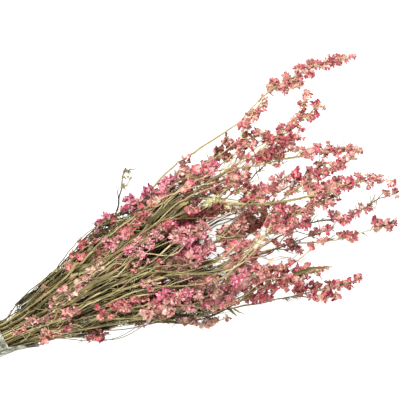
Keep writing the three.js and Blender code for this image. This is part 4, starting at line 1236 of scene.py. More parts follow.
def petal_material(name, deep, middle, pale, loss):
    """Papery dry petals: pale at the base, deeper towards the crumpled rim, the oldest faded to straw."""
    nodes = Nodes(name)
    along, own, second = nodes.look()
    tone = nodes.tone((along, 0, 0.5), (own, 0.5, 0.7), (nodes.noise(420, detail=4), 0.5, 1.1))
    base = tuple(BASE_SHARES[0] * a + BASE_SHARES[1] * b for a, b in zip(linear(pale), linear(BASE_CREAM)))
    body = nodes.ramp(tone, zip(PETAL_STOPS, (base, linear(pale), linear(middle), linear(deep))))
    faded = nodes.ramp(second, zip(FADE_STOPS, (BLACK, (loss, loss, loss, 1))))
    looks = {
        "Base Color": nodes.mix(faded, body, linear(FADED)),
        "Roughness": 0.75,
        "Specular IOR Level": 0.25,
        "Sheen Weight": 0.12,
        "Sheen Roughness": 0.5,
    }
    return nodes.surface(looks, bump=nodes.noise(900), strength=0.5, distance=0.0004)


def stem_material(name, deep, middle, pale):
    """Dry stems: darker and duller at the foot, with fine streaks along them."""
    nodes = Nodes(name)
    along, own, _ = nodes.look()
    streak, patch = nodes.noise(260, stretch=(0.06, 1, 1)), nodes.noise(28, detail=2)
    tone = nodes.tone((along, 0, 0.42), (own, 0, 0.62), (streak, 0.5, 0.8), (patch, 0.45, 0.7))
    body = nodes.ramp(tone, zip(STEM_STOPS, (linear(deep), linear(middle), linear(pale))))
    looks = {"Base Color": body, "Roughness": 0.65, "Specular IOR Level": 0.3}
    return nodes.surface(looks, bump=nodes.noise(700, stretch=(0.08, 1, 1)), strength=0.6, distance=0.0005)


def film_material():
    """Crumpled clear film: grey-green and half see-through, with painted pale highlight streaks and painted
    dark crease shade laid by a noise.
    """
    nodes = Nodes("film")
    # a noise that places the painted highlights and crease shade
    streak = nodes.noise(260, stretch=(0.45, 1, 1))
    body = nodes.ramp(streak, [(place, linear(tone)) for place, tone in FILM_PAINTED_LIGHT_TONES])
    looks = {"Base Color": body, "Roughness": 0.25, "IOR": 1.3, "Transmission Weight": 0.12}
    return nodes.surface(looks, bump=nodes.noise(120, stretch=(0.4, 1, 1)), strength=0.8, distance=0.002)


def floor_material():
    """A light table: white, and lit a little from below so that shadows stay faint."""
    nodes = Nodes("floor")
    greys = nodes.ramp(nodes.noise(60, detail=2), [(end, (*[FLOOR_GREYS[end]] * 3, 1)) for end in (0, 1)])
    glow = {"Emission Color": WHITE, "Emission Strength": FLOOR_GLOW}
    return nodes.surface({"Base Color": greys, "Roughness": 0.9, **glow})


# The bunch


def make_stems():
    """The stems of all sprays, each main stem before its side shoots."""
    stems = []
    for index, spray in enumerate(SPRAYS):
        main = Stem(index, 0, spray["radius"], spray["route"], spray["runs"])
        stems.append(main)
        stems += [Stem(index, *shoot, parent=main) for shoot in spray["shoots"]]
    keep_apart(stems)
    return stems


def make_clusters(stems, crowd):
    """The model's florets, as a list for each spray."""
    for stem in stems:
        xs = stem.ring_places()
        for near, far in zip(xs, xs[1:]):
            radius = max(stem.radius_at(near), stem.radius_at(far))
            crowd.add(stem.index, stem.axis(near), stem.axis(far), radius)
    clusters = [[] for _ in SPRAYS]
    for order, stem in enumerate(stems):
        for run_order, run in enumerate(stem.runs):
            for number in range(run[2]):
                made = place_cluster(stem, run, number, (order, run_order, number), clusters, crowd)
                if made:
                    clusters[stem.index].append(made)
                    crowd.add(stem.index, made["centre"], made["centre"], made["radius"])
                    crowd.add(stem.index, made["root"], made["centre"], FUNNEL_RADIUS)
    return clusters


def make_leaves(stems, crowd):
    """The model's leaves, as a list for each spray."""
    leaves = [[] for _ in SPRAYS]
    for stem in stems:
        if stem.parent:
            continue
        for number in range(max(1, len(SPRAYS[stem.index]["leaves"]))):
            leaf = place_leaf(stem, number, crowd)
            if leaf:
                leaves[stem.index].append(leaf)
                root, middle, tip, _ = leaf
                crowd.add(stem.index, root, middle, LEAF_ROOM)
                crowd.add(stem.index, middle, tip, LEAF_ROOM)
    return leaves


def add_stem(shape, stem, draw, end):
    """A stem as a smooth tube with small kinks, thicker where it has a joint."""
    start = stem.first * STATION if stem.parent else stem.foot()
    count = max(4, round((end - start) / STEM_STEP))
    xs = np.linspace(start, end, count)
    path = np.array([stem.smooth(x) for x in xs])
    kinks = draw.normal(0, STEM_KINK, (count, 2))
    kinks[0] = 0
    path[:, 1:] += kinks * np.clip(xs / STATION, FOOT_KINK, 1)[:, None]
    radii = stem.radius_at(xs) * (1 + JOINT_SWELL * (draw.uniform(0, 1, count) > JOINT_ABOVE))
    radii *= FOOT_SHARE + (1 - FOOT_SHARE) * np.clip(xs / FOOT_TO, 0, 1)
    path[:, 2] = np.maximum(path[:, 2], radii + FLOOR_GAP)
    along = np.clip((xs - start) / (end - start), 0, 1)
    looks = looks_of(along, random(stem.index, 20), draw.uniform(0, 1, count))
    add_tubes(shape, path, radii, SHOOT_SIDES if stem.parent else STEM_SIDES, looks)


def add_strap(shape, spine, out, width, tone, draw):
    """A narrow dry leaf along a spine: folded along its rib, curled and twisted."""
    spine = spine + draw.normal(0, STRAP_STIR, spine.shape)
    t = np.linspace(0, 1, len(spine))[:, None]
    ahead = unit(np.gradient(spine, axis=0))
    across = unit(np.cross(ahead, out))
    up = np.cross(across, ahead)
    twist = draw.uniform(-STRAP_TWIST, STRAP_TWIST) * t + draw.uniform(-STRAP_TURN, STRAP_TURN)
    wide = across * np.cos(twist) + up * np.sin(twist)
    deep = up * np.cos(twist) - across * np.sin(twist)
    half = 0.5 * width * outline(t, *STRAP_ARCH)
    height, waves_along, waves_across = STRAP_WAVE
    columns = []
    for s in np.linspace(-1, 1, STRAP_COLUMNS):
        wave = height * np.sin(waves_along * t + waves_across * s + draw.uniform(0, 6)) * abs(s)
        columns.append(spine + wide * half * s + deep * (half * STRAP_FOLD * abs(s) + wave))
    points = sheet_points(np.stack(columns, axis=1), PETAL_THICKNESS)
    along = np.tile(np.repeat(0.1 + 0.3 * t[:, 0], STRAP_COLUMNS), 2)
    shape.add(points, sheet_faces(len(spine) - 1, STRAP_COLUMNS - 1), looks_of(along, tone, 0.5))


def add_leaf(shape, leaf, draw):
    """A dry leaf that bends like the model's, and turns aside towards its tip."""
    root, middle, tip, out = leaf
    t = np.linspace(0, 1, LEAF_POINTS)[:, None]
    spine = bent_path(root, 2 * middle - (root + tip) / 2, tip, t)
    spine[:, 1] -= LEAF_KINK * np.linalg.norm(tip - root) * np.clip(t[:, 0] - LEAF_KINK_FROM, 0, 1)
    add_strap(shape, spine, unit(LEAF_LEAN * out + UP), LEAF_WIDTH, draw.uniform(*LEAF_TONE), draw)


def directions(count, draw):
    """Unit vectors spread evenly in all directions, turned and stirred by chance."""
    k = np.arange(count) + 0.5
    height = 1 - 2 * k / count
    around = GOLDEN_ANGLE * k + draw.uniform(0, 2 * math.pi)
    ring = np.sqrt(1 - height**2)
    spread = np.stack([ring * np.cos(around), ring * np.sin(around), height], axis=1)
    turn = np.linalg.qr(draw.normal(0, 1, (3, 3)))[0]
    return unit(spread @ turn + draw.normal(0, DIRECTION_STIR, (count, 3)))


def add_bracts(shape, stem, run, draw):
    """Small awl-shaped leaves that curve away from a stem, from below its florets to their end."""
    start = max(run[0] - BRACT_REACH[0], stem.first * STATION)
    end = min(run[1], stem.end - BRACT_REACH[1])
    count = max(1, round((end - start) / BRACT_STEP))
    roots = np.array([stem.smooth(x) for x in draw.uniform(start, end, count)])
    t = np.linspace(0, 1, len(BRACT_PROFILE))[None, :, None]
    length = draw.uniform(*BRACT_LENGTH, (count, 1, 1))
    ahead = unit(draw.normal(0, 1, (count, 3)) + [BRACT_LEAN, 0, 0])
    curl = draw.normal(0, BRACT_CURL, (count, 1, 3))
    paths = roots[:, None] + (ahead[:, None] * t + curl * t**2) * length
    paths[:, :, 2] = np.maximum(paths[:, :, 2], LOWEST)
    radii = draw.uniform(*BRACT_RADIUS, (count, 1)) * np.array([BRACT_PROFILE])
    looks = looks_of(np.full(radii.shape, 0.3), draw.uniform(0, 1, (count, 1)), 0.5)
    add_tubes(shape, paths, radii, STALK_SIDES, looks)


def add_flowers(flowers, stalks, clusters, kinds, draw):
    """Real florets in place of each of the model's larger ones, on stalks from the stem near its root."""
    places, outs, sizes, tints, roots = [], [], [], [], []
    for cluster in clusters:
        radius, centre, root, stem = (cluster[key] for key in ("radius", "centre", "root", "stem"))
        out = unit(centre - root)
        count = max(2, round(FLORET_SHARE * radius**2))
        tint = draw.uniform()
        away = directions(count, draw)
        far = CLUSTER_SPREAD * radius * draw.uniform(*CLUSTER_STRAY, (count, 1))
        places.append(centre + away * far - out * radius * CLUSTER_BACK)
        outs.append(away + out * CLUSTER_FACING + CLUSTER_LEAN + draw.normal(0, CLUSTER_STIR, (count, 3)))
        sizes.append(np.minimum(FLORET_RADIUS, FLORET_FIT * radius) * draw.uniform(*CLUSTER_SIZE, count))
        tints.append(TINT_SHARES[0] * tint + TINT_SHARES[1] * draw.uniform(0, 1, count))
        low = max(stem.first * STATION, root[0] - ROOT_SPREAD[0])
        xs = draw.uniform(low, root[0] + ROOT_SPREAD[1], count)
        roots += [stem.smooth(min(x, stem.end)) for x in xs]
    places, outs, roots = np.concatenate(places), unit(np.concatenate(outs)), np.array(roots)
    sizes, tints = np.concatenate(sizes), np.concatenate(tints)
    add_copies(flowers, kinds, places, outs, sizes, tints, draw)
    ends = places - outs * sizes[:, None] * STALK_SHORT
    sag = draw.normal(0, SAG, roots.shape)
    add_stalks(stalks, roots, ends, FLOWER_STALK, sag, tint=draw.uniform(*STALK_TINT, len(roots)))


def add_run(flowers, stalks, stem, run, kinds, buds, draw):
    """Small florets close to the stem all along a run, and closed buds towards its end."""
    start, end, _, reach, _, (middle, half_width) = run
    count = max(3, round((end - start) / RUN_STEP))
    share = (np.arange(count) + draw.uniform(0, 1, count)) / count
    roots = np.array([stem.smooth(x) for x in np.minimum(start + (end - start) * share, stem.end)])
    angles = np.radians(middle + half_width * draw.uniform(-1, 1, count))
    outs = np.stack([RUN_LEAN + 0 * angles, np.cos(angles), np.sin(angles)], axis=1)
    off = reach * (1 - FLORET_TAPER * share**2) * draw.uniform(*RUN_REACH, count)
    places = roots + outs * off[:, None]
    tints = draw.uniform(0, 1, count)
    is_bud = share > RUN_BUDS
    is_open = ~is_bud
    if is_open.any():
        sizes = FLORET_RADIUS * draw.uniform(*RUN_SIZE, is_open.sum())
        add_copies(flowers, kinds, places[is_open], outs[is_open], sizes, tints[is_open], draw)
    if is_bud.any():
        sizes = draw.uniform(*BUD_SIZE, is_bud.sum())
        add_copies(flowers, buds, places[is_bud], outs[is_bud] + [1, 0, 0], sizes, tints[is_bud], draw)
    add_stalks(stalks, roots, places, RUN_STALK, sag=draw.normal(0, SMALL_SAG, roots.shape), tint=tints)


def add_buds(flowers, stalks, clusters, kinds, draw):
    """Closed buds on short stalks in place of the model's small florets."""
    centres, roots = (np.array([cluster[key] for cluster in clusters]) for key in ("centre", "root"))
    sizes = np.array([cluster["radius"] for cluster in clusters]) * BUD_FIT
    outs = unit(centres - roots + [BUD_LEAN])
    count = len(centres)
    add_copies(flowers, kinds, centres, outs, sizes, draw.uniform(0, 1, count), draw)
    sag = draw.normal(0, BUD_SAG, roots.shape)
    add_stalks(stalks, roots, centres, BUD_STALK, sag, tint=draw.uniform(0, 1, count))


def curve(points, count):
    """A smooth path through given points."""
    points = np.array(points, dtype=float)
    xs = np.linspace(points[0][0], points[-1][0], count)
    return np.array([(x, *route_at(points, x)) for x in xs])


def flat_path(points, height):
    """A curved path through given points at one height, for parts seen from above."""
    return curve([(x, y, height) for x, y in points], 3 * len(points))


def add_thin_stem(shape, path, thick, tone):
    """A thin stem that narrows along its path and stays off the surface."""
    radii = np.linspace(thick, THIN_TIP * thick, len(path))
    path[:, 2] = np.maximum(path[:, 2], radii + FLOOR_GAP + np.where(path[:, 0] < 0, FILM_THICKNESS, 0))
    along = np.linspace(0, 1, len(path))
    add_tubes(shape, path, radii, THIN_SIDES, looks_of(along, tone, along))


def add_seed_head(wood, pods, stem, kinds, draw):
    """The spent flowering tip: a kinked stalk, fine side stalks and open papery pods."""
    start = stem.smooth(SEED_START)
    height = start[2]
    stalk, twig = SEED_RADII
    for points, thick in [([start[:2], *SEED_STALK], stalk)] + [(points, twig) for points in SEED_TWIGS]:
        path = flat_path(points, height)
        path[:, 1:] += draw.normal(0, SEED_KINK, (len(path), 2))
        add_thin_stem(wood, path, thick, tone=0.1)
    for x, y, radius in SEED_PODS:
        places = np.array([x, y, height]) + draw.normal(0, SEED_SPREAD * radius, (HUSKS, 3))
        outs = draw.normal(0, 1, (HUSKS, 3)) + SEED_LEAN
        sizes = radius * draw.uniform(*SEED_SIZE, HUSKS)
        add_copies(pods, kinds, places, outs, sizes, draw.uniform(0, 1, HUSKS), draw)


def make_spray(index, stems, clusters, leaves, kinds, buds, materials):
    """One spray as two pieces: its stems with stalks and leaves, and its florets."""
    name, petals, tone = (SPRAYS[index][key] for key in ("name", "petals", "stem"))
    draw = np.random.default_rng([SEED, index])
    wood, flowers = Shape(), Shape()
    is_husk = petals == "husk"
    for stem in stems:
        if stem.index != index:
            continue
        add_stem(wood, stem, draw, SEED_START if is_husk else stem.end)
        for run in stem.runs:
            if run[4] > BUD_RADIUS:
                add_run(flowers, wood, stem, run, kinds, buds, draw)
                add_bracts(wood, stem, run, draw)
        if is_husk:
            add_seed_head(wood, flowers, stem, kinds, draw)
    for leaf in leaves[index]:
        add_leaf(wood, leaf, draw)
    large = [cluster for cluster in clusters[index] if cluster["radius"] > BUD_RADIUS]
    small = [cluster for cluster in clusters[index] if cluster["radius"] <= BUD_RADIUS]
    if large:
        add_flowers(flowers, wood, large, kinds, draw)
    if small and not is_husk:
        add_buds(flowers, wood, small, buds, draw)
    wood.piece(f"{name}_stems", materials[tone], f"stem_{tone}", [name])
    slot = "seed_husk" if is_husk else f"petals_{petals}"
    flowers.piece(f"{name}_florets", materials[petals], slot, [name])


# What fills the bunch between the sprays


def between(mains, x, draw):
    """Two sprays' stems beside a random Y of the bunch at X, and a share of the way between them."""
    here = sorted((stem for stem in mains if stem.end > x), key=lambda stem: stem.smooth(x)[1])
    ys = [stem.smooth(x)[1] for stem in here]
    near = np.searchsorted(ys, draw.uniform(ys[0], ys[-1]))
    first = here[max(0, near - 1 - draw.integers(2))]
    second = here[min(len(here) - 1, near + draw.integers(2))]
    return first, second, draw.uniform(0, 1)


def stem_place(stem, x):
    """A point on a stem's axis, or on its straight continuation."""
    if x <= stem.end:
        return stem.smooth(x)
    near, tip = stem.smooth(stem.end - AHEAD), stem.smooth(stem.end)
    return tip + (tip - near) * (x - stem.end) / AHEAD


def path_between(first, second, shares, xs):
    """A path at a share of the way from one stem to another, or at a share of its own for each X."""
    shares = np.broadcast_to(shares, len(xs))
    return np.array([stem_place(first, x) * (1 - s) + stem_place(second, x) * s for x, s in zip(xs, shares)])


def even_out(values, rounds, own=2):
    """Draws each value but the first and last towards its neighbours, in place."""
    for _ in range(rounds):
        values[1:-1] = (values[:-2] + own * values[1:-1] + values[2:]) / (own + 2)


def bunch_edges(mains):
    """The least and the greatest Y of the sprays' stems, at steps along the bunch."""
    xs = np.arange(*EDGE_STATIONS)
    ys = [[stem.smooth(x)[1] for stem in mains if stem.end > x] for x in xs]
    low, high = np.array([min(row) for row in ys]), np.array([max(row) for row in ys])
    for edge in (low, high):
        even_out(edge, EDGE_ROUNDS, own=1)
    return xs, low, high


def edges_at(edges, x):
    """The least and the greatest Y of the bunch at X."""
    stations, low, high = edges
    return np.interp(x, stations, low), np.interp(x, stations, high)


def height_at(mains, x, y):
    """How high the bunch reaches near a point, seen from above: it falls away beside its stems."""
    places = [stem.smooth(x) for stem in mains if stem.end > x]
    near = sorted(places, key=lambda place: abs(place[1] - y))[:4]
    return max(place[2] - max(0, abs(place[1] - y) - STEM_COVER) for place in near)


def over_the_top(mains, path):
    """The heights of a path once it is lifted onto the bunch."""
    top = np.array([height_at(mains, x, y) + OVER_LIFT for x, y in path[:, :2]])
    even_out(top, TOP_ROUNDS)
    share = np.clip((path[:, 0] - RISE_FROM) / RISE_LENGTH, 0, 1)
    return path[:, 2] * (1 - share) + top * share


def group_tints(count, draw):
    """Tints that are half their group's and half each floret's own."""
    return 0.5 * draw.uniform() + 0.5 * draw.uniform(0, 1, count)


def add_head(flowers, stalks, path, start, count, kinds, draw):
    """Small florets along a thin stem, from a share of its length on."""
    along = np.sort(draw.uniform(start, 1, count)) * (len(path) - 1)
    roots = np.stack([np.interp(along, np.arange(len(path)), path[:, axis]) for axis in range(3)], axis=1)
    outs = unit(draw.normal(0, 1, (count, 3)) + HEAD_LEAN)
    places = roots + outs * draw.uniform(*HEAD_REACH, (count, 1))
    places[:, 2] = np.clip(places[:, 2], FLORET_FLOOR[0], TOP - FLORET_RADIUS)
    sizes = FLORET_RADIUS * draw.uniform(*HEAD_SIZE, count)
    tints = group_tints(count, draw)
    add_copies(flowers, kinds, places, outs, sizes, tints, draw)
    add_stalks(stalks, roots, places, HEAD_STALK, sag=draw.normal(0, SMALL_SAG, roots.shape), tint=tints)


def add_curl(shape, mains, edges, draw):
    """A thin curled stalk that lies across the top of the bunch's narrow end."""
    x = draw.uniform(0, CURL_REACH)
    first, second, share = between(mains, x, draw)
    place = path_between(first, second, share, [x])[0]
    heading = math.atan2(place[1], x + FOOT_LENGTH) + draw.normal(0, CURL_STRAY)
    turn = draw.normal(0, CURL_BEND)
    points = []
    for _ in range(draw.integers(*CURL_POINTS)):
        points.append((*place[:2], height_at(mains, place[0], place[1]) + CURL_LIFT))
        place = place + CURL_STEP * np.array([math.cos(heading), math.sin(heading), 0])
        least, most = edges_at(edges, place[0])
        if not least + CURL_ROOM < place[1] < most - CURL_ROOM:
            break
        heading += CURL_STEP * turn + draw.normal(0, CURL_STIR)
    if len(points) < 4:
        return
    path = np.array(points)
    even_out(path[:, 2], TOP_ROUNDS)
    add_thin_stem(shape, path, draw.uniform(*CURL_RADIUS), draw.uniform(*CURL_TONE))


def add_group(flowers, stalks, mains, group, kinds, draw):
    """A group of loose florets on top of the bunch, on short shoots."""
    x, y, radius = group
    count = max(2, round(LOOSE_SHARE * radius**2) + 1)
    top = height_at(mains, x, y)
    turns = draw.uniform(0, 2 * math.pi, count)
    far = radius * LOOSE_SPREAD * np.sqrt(draw.uniform(0, 1, count))
    rise = draw.uniform(*LOOSE_RISE, count) + (BROAD_LIFT if radius > BROAD_GROUP else 0)
    places = np.stack([x + far * np.cos(turns), y + far * np.sin(turns), top + rise], axis=1)
    places[:, 2] = np.clip(places[:, 2], FLORET_FLOOR[1], TOP - FLORET_RADIUS)
    flat = np.cos(turns) * LOOSE_OUT, np.sin(turns) * LOOSE_OUT
    outs = np.stack([LOOSE_LEAN + flat[0], flat[1], draw.uniform(*LOOSE_UP, count)], axis=1)
    sizes = min(FLORET_RADIUS, LOOSE_LEAST + 0.5 * radius) * draw.uniform(*LOOSE_SIZE, count)
    add_copies(flowers, kinds, places, outs, sizes, group_tints(count, draw), draw)
    roots = places - [LOOSE_SHOOT] + draw.normal(0, SHOOT_STRAY, places.shape)
    roots[:, 2] = np.maximum(roots[:, 2], 2 * LOWEST)
    sag = draw.normal(0, SHOOT_SAG, roots.shape)
    add_stalks(stalks, roots, places, RUN_STALK, sag, tint=draw.uniform(0, 1, count))


def filler_path(number, reach, first, second, share, edges, draw):
    """The swaying path of a thin stem between two sprays, its length, and whether it ends at the edge."""
    start = draw.uniform(*FILLER_START) * reach
    if number % FOOT_EACH == 0:
        start = -FOOT_LENGTH - draw.uniform(0, FOOT_SPARE)
    end = reach + draw.uniform(*FILLER_BEYOND)
    xs = np.linspace(start, end, max(6, round((end - start) / FILLER_STEP)))
    shares = np.clip(share + draw.normal(0, SHARE_STRAY) * (xs - end) / (end - start), 0, 1)
    path = path_between(first, second, shares, xs)
    sway = draw.uniform(*SWAY, 2) * (1 + SWAY_GROWTH * np.clip(xs, 0, None))[:, None]
    sway *= np.clip((xs - start) / SWAY_FREE, 0, 1)[:, None]
    path[:, 1:] += sway * np.sin(xs[:, None] / draw.uniform(*SWAY_WAVE, 2) + draw.uniform(0, 6, 2))
    path[:, 1] += draw.normal(0, SIDE_STRAY) * np.clip((xs - start) / (end - start), 0, 1) ** STEM_TAPER
    least, most = edges_at(edges, xs)
    path[:, 1] = np.clip(path[:, 1], least + draw.uniform(*EDGE_ROOM), most - draw.uniform(*EDGE_ROOM))
    return path, end - start, min(path[-1, 1] - least[-1], most[-1] - path[-1, 1]) < BARE_EDGE


def add_filler(number, wood, loose, mains, edges, kinds, draw):
    """A thin stem between two sprays or over the top of the bunch, most often with a small head."""
    reach = draw.uniform(*FILLER_REACH)
    first, second, share = between(mains, reach, draw)
    path, length, is_edge = filler_path(number, reach, first, second, share, edges, draw)
    is_over = number % OVER_EACH == 1
    if is_over:
        path[:, 2] = over_the_top(mains, path)
    is_straw = draw.uniform() < STRAW_CHANCE + STRAW_CHANCE * is_over
    stalks = wood["straw" if is_straw else "olive"]
    add_thin_stem(stalks, path, draw.uniform(*FILLER_RADIUS), draw.uniform(*FILLER_TONE))
    if draw.uniform() < HEAD_CHANCE and not is_over and not is_edge:
        petals = SPRAYS[first.index]["petals"]
        colour = petals if petals in loose else "rose"
        count = draw.integers(*(FEW_FLORETS if reach < NARROW_END else MANY_FLORETS))
        start = 1 - HEAD_LENGTH / max(HEAD_STEM, length)
        add_head(loose[colour], stalks, path, start, count, kinds[colour], draw)


def add_long_stems(shape, mains, draw):
    """Long pale stems on top of the flowers. Each comes up from between them at its start."""
    for thick, tone, route in LONG_STEMS:
        points = [(x, y, min(TOP, height_at(mains, x, y) + LONG_LIFT)) for x, y in route]
        path = curve(points, LONG_POINTS)
        path[:, 1:] += draw.normal(0, LONG_KINK, (len(path), 2))
        path[0, 2] -= LONG_LIFT
        add_thin_stem(shape, path, thick, tone)


def add_strays(shape, flowers, kinds, draw):
    """Thin stems that stray from the bunch, each with a few small florets."""
    for number, route in enumerate(STRAYS):
        path = curve(route, STRAY_POINTS)
        path[:, 1:] += draw.normal(0, STRAY_KINK, (len(path), 2))
        add_thin_stem(shape, path, draw.uniform(*STRAY_RADIUS), draw.uniform(*STRAY_TONE))
        add_head(flowers, shape, path, STRAY_HEAD, 2 + number % 3, kinds, draw)


def make_pods(mains, kinds, material, draw):
    """The unripe pods, each of a few crumpled husks."""
    pods = Shape()
    for x, y, radius in PODS:
        place = np.array([x, y, height_at(mains, x, y) + OVER_LIFT])
        places = place + draw.normal(0, POD_SPREAD * radius, (HUSKS, 3))
        outs = draw.normal(0, 1, (HUSKS, 3)) + POD_LEAN
        sizes = np.full(HUSKS, POD_SIZE * radius)
        add_copies(pods, kinds, places, outs, sizes, draw.uniform(0, 1, HUSKS), draw)
    pods.piece("unripe_pods", material, "seed_husk")


def make_fillers(mains, kinds, materials):
    """Thin stems in, on and beside the bunch, loose florets on it, and unripe pods."""
    draw = np.random.default_rng([SEED, 103])
    wood = {name: Shape() for name in STEMS}
    loose = {name: Shape() for name in LOOSE}
    edges = bunch_edges(mains)
    for number in range(FILLER_STEMS):
        add_filler(number, wood, loose, mains, edges, kinds, draw)
    for _ in range(CURLS):
        add_curl(wood["straw" if draw.uniform() < 0.5 else "olive"], mains, edges, draw)
    add_long_stems(wood["straw"], mains, draw)
    add_strays(wood["olive"], loose["rose"], kinds["rose"], draw)
    groups = sorted((*group, colour) for colour, rows in LOOSE.items() for group in rows)
    for *group, colour in groups:
        add_group(loose[colour], wood["olive"], mains, group, kinds[colour], draw)
    make_pods(mains, kinds["pod"], materials["pod"], draw)
    for name, shape in wood.items():
        shape.piece(f"filler_stems_{name}", materials[name], f"stem_{name}")
    for name, shape in loose.items():
        shape.piece(f"loose_florets_{name}", materials[name], f"petals_{name}")


def add_shreds(shape, mains, edges, draw):
    """Shredded dry leaves, curled every way, thickest towards the sprays; many are darkened as painted shade
    among the stems.
    """
    paths, radii, looks = [], [], []
    for _ in range(SHREDS):
        x = math.sqrt(draw.uniform(0, 1)) * SHRED_REACH
        first, second, share = between(mains, x, draw)
        start = path_between(first, second, share, [x])[0]
        ahead = unit(path_between(first, second, share, [x + AHEAD])[0] - start)
        start[2] *= draw.uniform(*SHRED_HEIGHT)
        length = draw.uniform(*SHRED_LENGTH)
        heading = unit(ahead + draw.normal(0, SHRED_STRAY, 3))
        t = np.linspace(0, 1, len(SHRED_PROFILE))[:, None]
        curl = draw.normal(0, 1, 3) * draw.uniform(*SHRED_CURL)
        path = start + heading * length * t + curl * np.sin(t * draw.uniform(*SHRED_WAVE)) * t
        path[:, 1] = np.clip(path[:, 1], *edges_at(edges, path[:, 0]))
        path[:, 2] = np.maximum(path[:, 2], LOWEST)
        paths.append(path)
        radii.append(draw.uniform(*SHRED_RADIUS) * np.array(SHRED_PROFILE))
        # the own tone is pushed dark: painted shade deep among the stems
        tones = draw.uniform(*SHRED_ALONG), draw.uniform(0, 1) ** SHRED_PAINTED_SHADE, 0.5
        looks.append(np.tile(tones, (len(t), 1)))
    add_tubes(shape, paths, radii, STALK_SIDES, np.array(looks))


def add_straps(shape, mains, draw):
    """Narrow dry leaves that run along the stems of the narrow end."""
    for _ in range(STRAPS):
        start = draw.uniform(*STRAP_START)
        first, second, share = between(mains, start + STRAP_AT, draw)
        xs = np.linspace(start, start + draw.uniform(*STRAP_LENGTH), STRAP_POINTS)
        spine = path_between(first, second, share, xs)
        t = np.linspace(0, 1, STRAP_POINTS)[:, None]
        spine[:, 1:] += draw.normal(0, 1, 2) * STRAP_STRAY * t**2 + [0, STRAP_LIFT]
        add_strap(shape, spine, UP, draw.uniform(*STRAP_WIDTH), draw.uniform(*STRAP_TONE), draw)


def add_under_leaves(shape, edges, draw):
    """Broad leaves low in the bunch, which lie as the stems fan out; their near-black tone is painted shade
    of the deep bunch and hides the floor between the stems.
    """
    for _ in range(UNDER_LEAVES):
        x = draw.uniform(*UNDER_PLACES)
        place = draw.uniform(*(UNDER_WIDE if x < UNDER_DENSE else UNDER_NARROW))
        low, high = edges_at(edges, x)
        y = low * (1 - place) + high * place
        least, most = UNDER_REACH
        reach = draw.uniform(least, most + UNDER_GROWTH * x)
        along = np.linspace(-reach, reach, UNDER_POINTS)
        slope = y / (x + FOOT_LENGTH) + draw.normal(0, UNDER_STRAY)
        height = draw.uniform(*UNDER_HEIGHT) + UNDER_RISE * along
        spine = np.stack([x + along, y + slope * along, height], axis=1)
        # a near-black tone: painted shade
        add_strap(shape, spine, UP, draw.uniform(*UNDER_WIDTH), draw.uniform(*UNDER_SHADE_TONE), draw)


def make_shreds(mains, material):
    """The dry leaves that fill the narrow end of the bunch, from shreds to broad ones; the darkest of them
    are painted shade deep in the bunch.
    """
    draw = np.random.default_rng([SEED, 101])
    shreds = Shape()
    edges = bunch_edges(mains)
    add_shreds(shreds, mains, edges, draw)
    add_straps(shreds, mains, draw)
    add_under_leaves(shreds, edges, draw)
    for width, tone, points in BROAD_LEAVES:
        height = max(height_at(mains, x, y) for x, y in points) + BROAD_LEAF_LIFT
        add_strap(shreds, flat_path(points, height), UP, width, tone, draw)
    # this piece also holds painted shade: the darkened shreds and the near-black under-leaves
    shreds.piece("dry_leaf_shreds_and_painted_shade", material, "stem_olive")


# The film


def film_reach(mains, x, angle):
    """How far the film is from the middle of the tie in a direction across the bunch, over the stems."""
    across = np.array([math.cos(angle), math.sin(angle)])
    reach = max(float(stem.axis(x)[1:] @ across) + float(stem.radius_at(x)) for stem in mains)
    return reach + FILM_GAP + FILM_THICKNESS


def film_point(mains, share, angle, step, crease):
    """A point of the film's outside, where the tangents at two directions round the stems meet."""
    middle = angle + step / 2
    front = FILM_FRONT + FILM_SLANT * math.cos(middle - FILM_LOWEST)
    corner = max(0, math.cos(middle - CORNER_AT)) ** CORNER_POWER * share**CORNER_POWER
    x = FILM_BACK + (front + FILM_AHEAD - FILM_BACK) * share
    near, far = film_reach(mains, x, angle), film_reach(mains, x, angle + step)
    slide = (far - near * math.cos(step)) / math.sin(step)
    y = near * math.cos(angle) - slide * math.sin(angle)
    z = near * math.sin(angle) + slide * math.cos(angle)
    waves = sum(height * math.sin(around * angle + along * x) for height, around, along in FILM_WAVES)
    wave = waves + CREASE * crease
    upper = max(0.0, math.sin(middle) + FLAT_SHARE)
    lift = FILM_FLARE * corner + max(0.0, wave + WAVE_LIFT) * upper
    return x + FILM_CORNER * corner, y + lift * math.cos(middle), z + lift * math.sin(middle)


def film_faces(rows, sides):
    """Triangles of the film's outside and inside, and of the rims that join them."""
    faces = []
    size = rows * sides
    for row in range(rows - 1):
        for side in range(sides):
            a, b = row * sides + side, row * sides + (side + 1) % sides
            c, d = b + sides, a + sides
            faces += [(a, c, b), (a, d, c), (size + a, size + b, size + c), (size + a, size + c, size + d)]
    for row in (0, rows - 1):
        for side in range(sides):
            a, b = row * sides + side, row * sides + (side + 1) % sides
            rim = [(a, b, size + b), (a, size + b, size + a)]
            faces += rim if row == 0 else [face[::-1] for face in rim]
    return faces


